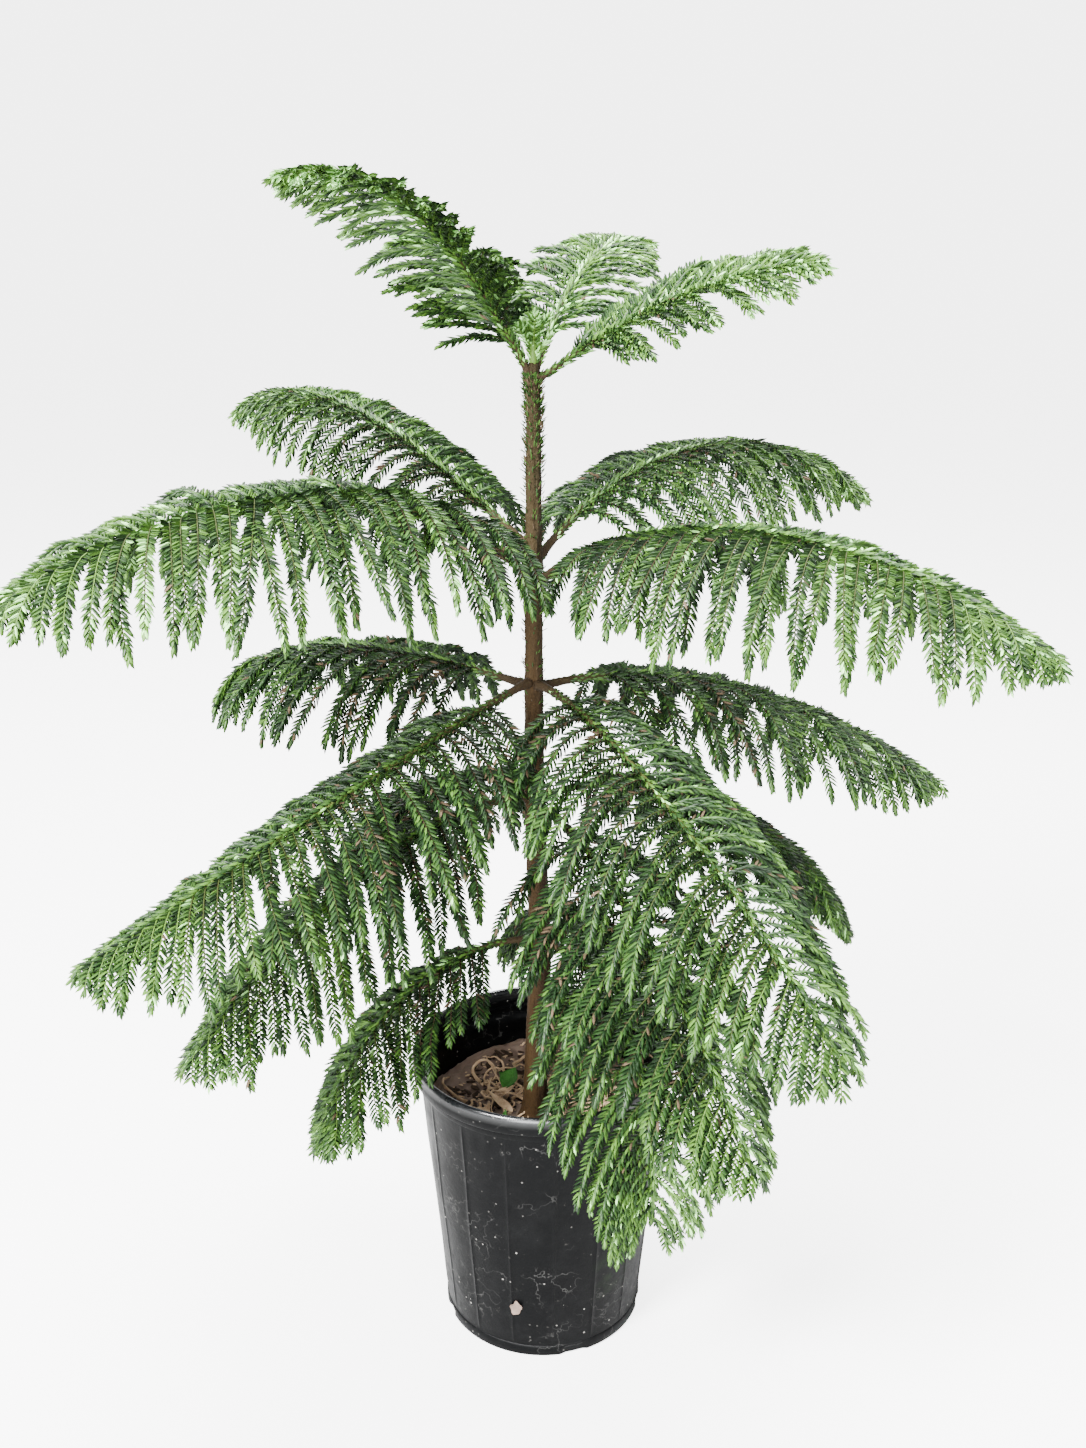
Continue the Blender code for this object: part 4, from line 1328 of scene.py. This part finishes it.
def needles_on(twigs: TwigBatch, rule: NeedleRule, thick: Array, chance: np.random.Generator
               ) -> NeedleBatch:
    """Needles round twigs, in paired rows or all round.

    The needle's foot is on the twig's skin. It leaves at lean degrees from the twig and its
    outer part at close degrees. Needles shorten at both ends of the twig and close up at its
    tip.

    Args:
        twigs: The twigs.
        rule: How the needles stand.
        thick: Radius of each twig at its foot and tip, twigs × 2.
        chance: The random source.

    Returns:
        Every needle of the batch.
    """
    counts = np.maximum(3, (twigs.lengths / rule.step).astype(int))
    owner = np.repeat(np.arange(len(counts)), counts)
    order = np.arange(len(owner)) - np.repeat(np.cumsum(counts) - counts, counts)
    total = len(owner)
    along = (order // 2 * 2 + 0.5 + chance.uniform(-rule.jitter, rule.jitter, total)) * rule.step
    share = np.clip(along / twigs.lengths[owner], 0.0, 1.0)
    spot = share * (twigs.lines.shape[1] - 1)
    low = np.minimum(spot.astype(int), twigs.lines.shape[1] - 2)
    part = (spot - low)[:, None]
    place, way = (values[owner, low] * (1 - part) + values[owner, low + 1] * part
                  for values in (twigs.lines, unit(np.gradient(twigs.lines, axis=1))))
    way = unit(way)
    across = twigs.across[owner]
    across = unit(across - way * np.sum(across * way, -1, keepdims=True))
    rise = np.cross(way, across)
    stand = ROW_TURNS[order % 4] if rule.paired else order * SPIRAL
    phase = chance.uniform(-0.12, 0.12, len(counts))[owner]
    turn = stand + phase + np.radians(chance.normal(0, rule.stray, total))
    radial = np.cos(turn)[:, None] * across + np.sin(turn)[:, None] * rise
    end = ease(share, 0.80, 1.0)
    lean = rule.lean * (1 - rule.tip_lean * end) + chance.normal(0, rule.wobble, total)
    close = rule.close * (1 - rule.tip_close * end) + chance.normal(0, rule.wobble, total)
    size = rule.length * (0.62 + 0.38 * ease(share, 0.0, 0.16)) * (1 - rule.tip_loss * end)
    size = size * chance.uniform(0.86, 1.12, total)
    skin = thick[owner, 0] + (thick[owner, 1] - thick[owner, 0]) * share
    tones = twigs.tones[owner] + rule.tip_tone * ease(share, 0.66, 0.98)
    # each needle strays darker or paler: painted self-shade and painted glints
    tones = tones + chance.normal(0, rule.shade_and_glint_stray, total)
    tones = np.where(twigs.dry[owner], DEAD_TONE, tones)
    first, second = (np.cos(a)[:, None] * way + np.sin(a)[:, None] * radial
                     for a in np.radians([lean, close]))
    feet = place + radial * (skin * 0.6)[:, None] - first * rule.sunk
    widths = rule.width * chance.uniform(0.85, 1.15, total)
    return NeedleBatch(feet, first, second, np.cross(way, radial), size, widths, tones)


def add_needles(name: str, needles: NeedleBatch, nodes: tuple[str, ...]) -> None:
    """Adds needles as one piece for each tint that they are dealt to.

    Args:
        name: What the pieces' names start with.
        needles: The needles.
        nodes: The CAD nodes that they stand for.
    """
    step = np.clip(np.round(needles.tones), 0, len(BRIGHTENING) - 1)
    alive = needles.tones >= DEAD_TONE + 0.1
    dealt = [(tint, (step == number) & alive) for number, tint in enumerate(BRIGHTENING)]
    for tint, which in (*dealt, (NeedleTint.DRY, ~alive)):
        if which.any():
            add_piece(f"{name}_{tint.value.name}", needles.chosen(which).shell(), tint.value,
                      nodes, None)


# ------------------------------------------------------------------------------------- boughs

class Axis:
    """A bough's middle line: its slope and direction follow the bough's rule along it.

    slope(u) = rise + (droop − rise) · u^curve and azimuth(u) = azimuth + swing · (u − ½).
    """

    runs: int = 96

    def __init__(self, bough: Bough, trunk: Trunk) -> None:
        """Walks the line out from the trunk's surface.

        Args:
            bough: The bough's plan.
            trunk: What it leaves.
        """
        self.length = bough.length
        self.outward = headings(bough.azimuth - bough.swing / 2, 0.0)
        start = trunk.centre(bough.height) + trunk.radius(bough.height) * self.outward
        u = (np.arange(self.runs) + 0.5) / self.runs
        way = headings(bough.azimuth + bough.swing * (u - 0.5),
                       bough.rise + (bough.droop - bough.rise) * u ** bough.curve)
        walked = np.cumsum(way, 0) * bough.length / self.runs
        self.points = start + np.concatenate([np.zeros((1, 3)), walked])
        self.shares = np.linspace(0.0, 1.0, self.runs + 1)

    def place(self, u: Array) -> Array:
        """Points at shares u of the length."""
        return np.stack([np.interp(u, self.shares, column) for column in self.points.T], -1)

    def heading(self, u: Array) -> Array:
        """Unit vectors along the axis at u."""
        span = 1.0 / 24
        return unit(self.place(np.minimum(1.0, u + span)) - self.place(np.maximum(0.0, u - span)))


@dataclass
class Tier:
    """One whorl: its boughs' wood, twigs and needles."""

    name: str
    whorl: Whorl
    boughs: tuple[Bough, ...]
    trunk: Trunk
    pot: NurseryPot
    mix: PottingMix
    seed: int
    youngest: bool
    inner_span: float = 0.4
    droop_power: float = 0.65
    splay_power: float = 4.0
    steps: int = 12
    slimness: float = 0.80          # of the wood, over the source's fuller limb
    stem_tip: float = 0.0009
    twig_foot: float = 0.00080
    twig_tip: float = 0.00045
    shorter: tuple[float, ...] = (1.0, 0.75, 0.5)
    dry_share: float = 0.005
    dry_length: float = 0.22        # of a dead branchlet, over a live one
    tip_taper: float = 0.28         # how much shorter branchlets are at a bough's tip
    olive_from: float = 0.42        # share of the bough where twigs turn olive
    green_from: float = 0.8
    first_gap: float = 0.008        # from the bare part to the first branchlet
    last_gap: float = 0.010         # from the last branchlet to the bough's tip
    clear_above: float = 0.007      # room kept over the pot's rim and the mix
    clear_beside: float = 0.006     # room kept outside the pot and over the floor
    clear_inside: float = 0.010     # room kept inside the pot's wall
    clear_trunk: float = 0.005
    tip_tone: float = 1.5           # how many steps brighter a bough's tip is than its inside in painted shade

    def wood(self, axis: Axis) -> Shell:
        """A bough's wood: round, with leaf cushions in spirals and fine wrinkles.

        Radius = stem tip + (limb − stem tip) · (1 − u)^1.9 + a collar that dies away from the
        trunk. Cushions are a sine of length and turn, cubed; wrinkles are noise drawn out along.

        Args:
            axis: The bough's middle line.

        Returns:
            The wood as a closed surface.
        """
        u = np.concatenate([np.linspace(0.0, 0.12, 34), np.linspace(0.125, 1.0, 130)])
        points = axis.place(u)
        points[0] -= axis.outward * 0.003
        limb = self.whorl.limb_radius * self.slimness
        taper, collar = (1 - u) ** 1.9, 0.45 * np.exp(-u / 0.02)
        radius = self.stem_tip + (limb - self.stem_tip) * taper + limb * collar
        turn = full_turn(10)
        along = u[:, None] * axis.length
        cushions = np.maximum(0.0, np.sin(along * 1150.0 + 3 * turn)) ** 3
        wrinkles = LatticeNoise(self.seed)(points_at(np.cos(turn), np.sin(turn), along * 60.0), 1.6, 2)
        relief = radius[:, None] * (0.16 * cushions + 0.10 * wrinkles)
        side = np.cross(axis.heading(u), UP)
        return tubes(points[None], radius[None], side[None], len(turn), 1.0, relief[None])

    def blocked(self, points: Array) -> Array:
        """Tells points that are in or too near the pot, the mix, the floor or the trunk.

        Args:
            points: Places, with x, y, z along the last axis.

        Returns:
            True where a point is blocked.
        """
        x, y, z = points[..., 0], points[..., 1], points[..., 2]
        out = np.hypot(x, y)
        wall = self.pot.wall_radius(z)
        rim = np.where(z > 0.26, self.pot.rim_radius, wall)
        in_pot = (out > wall - self.clear_inside) & (out < rim + self.clear_beside)
        in_pot = (z < self.pot.height + self.clear_above) & in_pot
        in_mix = (z < self.mix.height(x, y, False) + self.clear_above) & (out < wall)
        middle = self.trunk.centre(z)
        away = np.hypot(x - middle[..., 0], y - middle[..., 1])
        near = (away < self.trunk.radius(z) + self.clear_trunk) & (z < self.trunk.high)
        return in_pot | in_mix | (z < self.clear_beside) | near

    def branchlets(self, bough: Bough, axis: Axis, chance: np.random.Generator) -> TwigBatch:
        """The two ranks of branchlets of a bough, each clear of pot, mix and trunk.

        Each leaves the axis at its splay angle, a little up, with a slight sideways curve; its
        slope falls from lift to −hang as lift − (lift + hang) · t^droop_power.

        Args:
            bough: The bough's plan.
            axis: Its middle line.
            chance: The random source.

        Returns:
            The branchlets that have room, at full length or shorter.
        """
        whorl = self.whorl
        first = whorl.bare + self.first_gap / axis.length
        last = 1 - self.last_gap / axis.length
        count = round((last - first) * axis.length / whorl.spacing)
        rank = np.repeat([-1.0, 1.0], count + 1)
        u = first + (last - first) * (np.tile(np.arange(count + 1), 2) + 0.25 + 0.25 * rank) / (
            count + 0.5)
        total = len(u)
        u = np.clip(u + chance.uniform(-0.16, 0.16, total) * whorl.spacing / axis.length, first, 1)
        fade = bough.inner + (1 - bough.inner) * np.minimum(1.0, u / self.inner_span)
        fade = fade * (1 - (1 - bough.tail) * u ** bough.fade)
        fade = fade * (1 - self.tip_taper * ease(u, 0.80, 1.0))
        dry = chance.random(total) < self.dry_share
        longest = whorl.branchlet * bough.reach * fade * chance.uniform(0.84, 1.06, total)
        longest = longest * np.where(dry, self.dry_length, 1.0)
        splay = whorl.splay + (whorl.splay_tip - whorl.splay) * u ** self.splay_power
        splay = splay + chance.normal(0, 3, total)
        hang = (whorl.hang + chance.normal(0, 5, total))[:, None]
        lift = (whorl.lift * bough.loft + chance.normal(0, 4, total))[:, None]
        sway = chance.normal(0, 0.10, total)
        way = axis.heading(u)
        roll = math.radians(bough.roll)
        side = unit(np.cross(way, UP))
        side = (side * math.cos(roll) - np.cross(side, way) * math.sin(roll)) * rank[:, None]
        turn = np.radians(splay)[:, None]
        out = way * np.cos(turn) + side * np.sin(turn)
        across = unit(np.cross(out, UP))
        t = (np.arange(self.steps) + 0.5) / self.steps
        slope = np.radians(lift - (lift + hang) * t ** self.droop_power)[..., None]
        run = unit(out[:, None] * np.cos(slope) + UP * np.sin(slope)
                   + across[:, None] * (sway[:, None] * t)[..., None])
        start = axis.place(u)[:, None]
        kept = np.zeros(total, bool)
        lines, lengths = np.zeros((total, self.steps + 1, 3)), np.zeros(total)
        for shorter in self.shorter:
            steps = run * (longest * shorter / self.steps)[:, None, None]
            tried = start + np.concatenate([np.zeros_like(start), np.cumsum(steps, 1)], 1)
            fine = ~self.blocked(tried[:, 2:]).any(1) & ~kept
            lines[fine], lengths[fine] = tried[fine], (longest * shorter)[fine]
            kept |= fine
        # needle tones: partly painted shade on the bough's inside, partly paler growth towards its
        # tip, with a random stray for each spray
        tones = whorl.tone + self.tip_tone * u ** 1.5 + chance.normal(0, 0.38, total)
        return TwigBatch(*(values[kept] for values in (lines, across, lengths, tones, u, dry)))

    def stem_twig(self, axis: Axis) -> TwigBatch:
        """The bough's own axis as a twig, for the needles that stand on it.

        Args:
            axis: The bough's middle line.

        Returns:
            A batch of one.
        """
        start = self.whorl.bare * (0.15 if self.youngest else 0.5)
        across = unit(np.cross(axis.heading(np.array([0.5]))[0], UP))
        one = np.ones(1)
        return TwigBatch(axis.place(np.linspace(start, 1.0, 49))[None], across[None],
                         axis.length * (1 - start) * one, (self.whorl.tone + 1.2) * one, 0.5 * one,
                         one < 0)

    def build(self) -> None:
        """Makes the tier's wood, twigs by tint and needles by tint."""
        rule = YOUNG_RULE if self.youngest else NeedleRule()
        stem_rule = NeedleRule(0.00080, rule.length * 0.92, rule.width, 48.0, 28.0, False)
        stem_thick = np.array([[self.whorl.limb_radius * 0.9, self.stem_tip]])
        wood, needles, sprays = [], [], []
        for number, bough in enumerate(self.boughs):
            chance = np.random.default_rng(self.seed * 10 + number)
            axis = Axis(bough, self.trunk)
            wood.append(self.wood(axis))
            twigs = self.branchlets(bough, axis, chance)
            thick = np.repeat([[self.twig_foot, self.twig_tip]], len(twigs.lengths), 0)
            needles.append(needles_on(twigs, rule, thick, chance))
            needles.append(needles_on(self.stem_twig(axis), stem_rule, stem_thick, chance))
            sprays.append(twigs)
        limbs = tuple(f"{self.name}_{b.name}_limb" for b in self.boughs)
        masses = tuple(f"{self.name}_{b.name}_foliage" for b in self.boughs)
        add_piece(f"{self.name}_wood", joined(wood), BoughBark("bough_bark"),
                  limbs + masses, SMOOTH)
        self.add_twigs(sprays, masses)
        add_needles(self.name, NeedleBatch.gathered(needles),
                    masses)

    def add_twigs(self, sprays: list[TwigBatch], nodes: tuple[str, ...]) -> None:
        """Adds the twigs' tubes as one piece for each tint, by their place along the bough.

        Args:
            sprays: The twigs of each bough.
            nodes: The CAD nodes that they stand for.
        """
        bands = (-1.0, self.olive_from, self.green_from, math.inf)
        radii = np.linspace(self.twig_foot, self.twig_tip, self.steps + 1)
        for tint, low, high in zip(TwigTint, bands, bands[1:]):
            shells = []
            for twigs in sprays:
                outward = twigs.shares + (0.6 if self.youngest else 0.0)
                which = (outward >= low) & (outward < high)
                if which.any():
                    lines = twigs.lines[which]
                    shells.append(tubes(lines, np.broadcast_to(radii, lines.shape[:2]),
                                        twigs.across[which][:, None], 4))
            if shells:
                add_piece(f"{self.name}_{tint.value.name}", joined(shells), tint.value,
                          nodes, SMOOTH)


# ------------------------------------------------------------------------------------- leader

@dataclass
class Leader:
    """The leading shoot on the trunk's tip and the stubble of needles below it."""

    trunk: Trunk
    height: float = 0.046
    sprays: int = 7
    spray_length: float = 0.034
    spray_low: float = 0.0056       # height of the lowest spray's foot
    spray_step: float = 0.00252
    rise: float = 52.0
    tone: float = 3.1
    stubs: int = 1500
    stub_top: float = 0.955
    stub_reach: float = 0.30

    def build(self) -> None:
        """Makes the shoot, its sprays, their needles and the trunk's stubble."""
        chance = np.random.default_rng(SEED + 77)
        foot = self.trunk.centre(self.trunk.high) - UP * 0.002
        share = np.linspace(0, 1, 13)
        number = np.arange(self.sprays)
        turn = 360 / self.sprays * number + 20
        roots = foot + UP * (self.spray_low + self.spray_step * number)[:, None]
        ways = headings(turn, self.rise + chance.normal(0, 6, self.sprays))
        length = self.spray_length * chance.uniform(0.75, 1.0, self.sprays)
        lines = roots[:, None] + ways[:, None] * (share[:, None] * length[:, None, None])
        main = foot + UP * (share * self.height)[:, None]
        lines = np.concatenate([lines, main[None]])
        across = np.concatenate([headings(turn + 90, 0.0), [[1.0, 0.0, 0.0]]])
        one = np.ones(len(lines))
        twigs = TwigBatch(lines, across, np.append(length, self.height), self.tone * one, one, one < 0)
        radii = np.array([[0.0009, 0.0005]] * self.sprays + [[0.0040, 0.0010]])
        tube_radii = radii[:, :1] + (radii[:, 1:] - radii[:, :1]) * share
        add_piece("leader_shoot", tubes(lines, tube_radii, across[:, None], 6),
                  TwigTint.GREEN.value, ("leader",), SMOOTH)
        batch = needles_on(twigs, NeedleRule(step=0.0009, length=0.0092), radii, chance)
        add_needles("leader", batch, ("leader",))
        self.stubble(chance)

    def stubble(self, chance: np.random.Generator) -> None:
        """Short needles left on the trunk, thick under the tip and sparse below.

        Args:
            chance: The random source.
        """
        count = self.stubs
        height = self.stub_top - self.stub_reach * chance.random(count) ** 1.6
        turn = chance.random(count) * math.tau
        radial = points_at(np.cos(turn), np.sin(turn), 0.0)
        tangent = points_at(-np.sin(turn), np.cos(turn), 0.0)
        feet = self.trunk.centre(height) + radial * (self.trunk.radius(height) * 0.96)[:, None]
        lean = np.radians(chance.normal(58, 13, count))[:, None]
        close = lean - math.radians(16)
        keep = chance.random(count) < 0.35 + 0.65 * ease(height, 0.80, 0.95)
        dead = chance.random(count) < 0.30
        tones = np.where(dead, DEAD_TONE, 1.6 + chance.normal(0, 0.6, count))
        first, second = (np.sin(a) * radial + np.cos(a) * UP for a in (lean, close))
        batch = NeedleBatch(feet, first, second, tangent, chance.uniform(0.004, 0.0085, count),
                            np.full(count, 0.0012), tones)
        add_needles("trunk", batch.chosen(keep), ("trunk",))


# ------------------------------------------------------------------------------------- studio

@dataclass(frozen=True)
class Lamp:
    """A square soft light that looks at the plant's middle."""

    name: str
    place: tuple[float, float, float]
    size: float
    power: float
    target: tuple[float, float, float] = (0.0, 0.0, 0.6)

    def build(self) -> None:
        """Adds the light."""
        lamp = bpy.data.lights.new(self.name, "AREA")
        lamp.energy = self.power
        lamp.size = self.size
        thing = placed(self.name, lamp)
        thing.location = self.place
        aim = np.array(self.target) - np.array(self.place)
        thing.rotation_euler = (math.pi / 2 + math.atan2(aim[2], math.hypot(aim[0], aim[1])), 0.0,
                                math.atan2(aim[1], aim[0]) - math.pi / 2)


@dataclass
class Studio:
    """Pale floor, soft lights and the camera."""

    eye: tuple[float, float, float] = (0.0, -1.260, 1.028)
    down: float = 17.29
    lens: float = 34.81
    half: float = 90.0          # of the floor's side
    ambient: float = 2.7        # the world's strength as a light
    backdrop: float = 5.0       # the brightness that the camera sees behind the plant
    lamps: tuple[Lamp, ...] = (Lamp("key_light", (-2.6, -2.9, 4.0), 1.5, 2600.0),
                               Lamp("fill_light", (-0.5, -3.7, 1.0), 2.2, 560.0),
                               Lamp("top_light", (0.3, 0.9, 4.4), 1.6, 900.0))

    def floor(self) -> None:
        """A plain pale floor."""
        mesh = bpy.data.meshes.new("floor")
        half = self.half
        corners = [(-half, -half, 0.0), (half, -half, 0.0), (half, half, 0.0), (-half, half, 0.0)]
        mesh.from_pydata(corners, [], [(0, 1, 2, 3)])
        mesh.materials.append(FloorPaint("floor_pale", self.ambient, self.backdrop).material())
        placed("floor", mesh)

    def world(self) -> None:
        """A white world, brighter to the camera than as a light."""
        world = bpy.data.worlds.new("studio")
        bpy.context.scene.world = world
        world.use_nodes = True
        sheet = NodeSheet(world.node_tree)
        back = world.node_tree.nodes["Background"]
        sheet.feed(back.inputs["Color"], (1.0, 1.0, 1.0))
        seen = sheet.add("LightPath").outputs["Is Camera Ray"]
        sheet.feed(back.inputs["Strength"], sheet.spread(seen, 0.0, 1.0, self.ambient, self.backdrop))

    def camera(self) -> None:
        """The camera, level from side to side and looking a little down."""
        lens = bpy.data.cameras.new("camera")
        lens.lens = self.lens
        lens.sensor_width = 36.0
        camera = placed("camera", lens)
        camera.location = self.eye
        camera.rotation_euler = (math.radians(90.0 - self.down), 0.0, 0.0)
        bpy.context.scene.camera = camera

    def build(self) -> None:
        """Sets the stage."""
        self.floor()
        for lamp in self.lamps:
            lamp.build()
        self.world()
        self.camera()


def save_sizes() -> None:
    """Brings the view layer up to date."""
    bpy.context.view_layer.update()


def main() -> None:
    """Builds the studio and the plant, piece by piece."""
    logging.basicConfig(level=logging.INFO, format="%(name)s: %(message)s")
    Studio().build()
    pot = NurseryPot()
    pot.build()
    pot.scrap()
    mix = PottingMix(pot)
    mix.build()
    trunk = Trunk()
    trunk.build()
    Leader(trunk).build()
    for number, (name, whorl) in enumerate(WHORLS.items()):
        Tier(name, whorl, BOUGHS[name], trunk, pot, mix, SEED + 10 * number, number == 0).build()
    save_sizes()


if __name__ == "__main__":
    main()
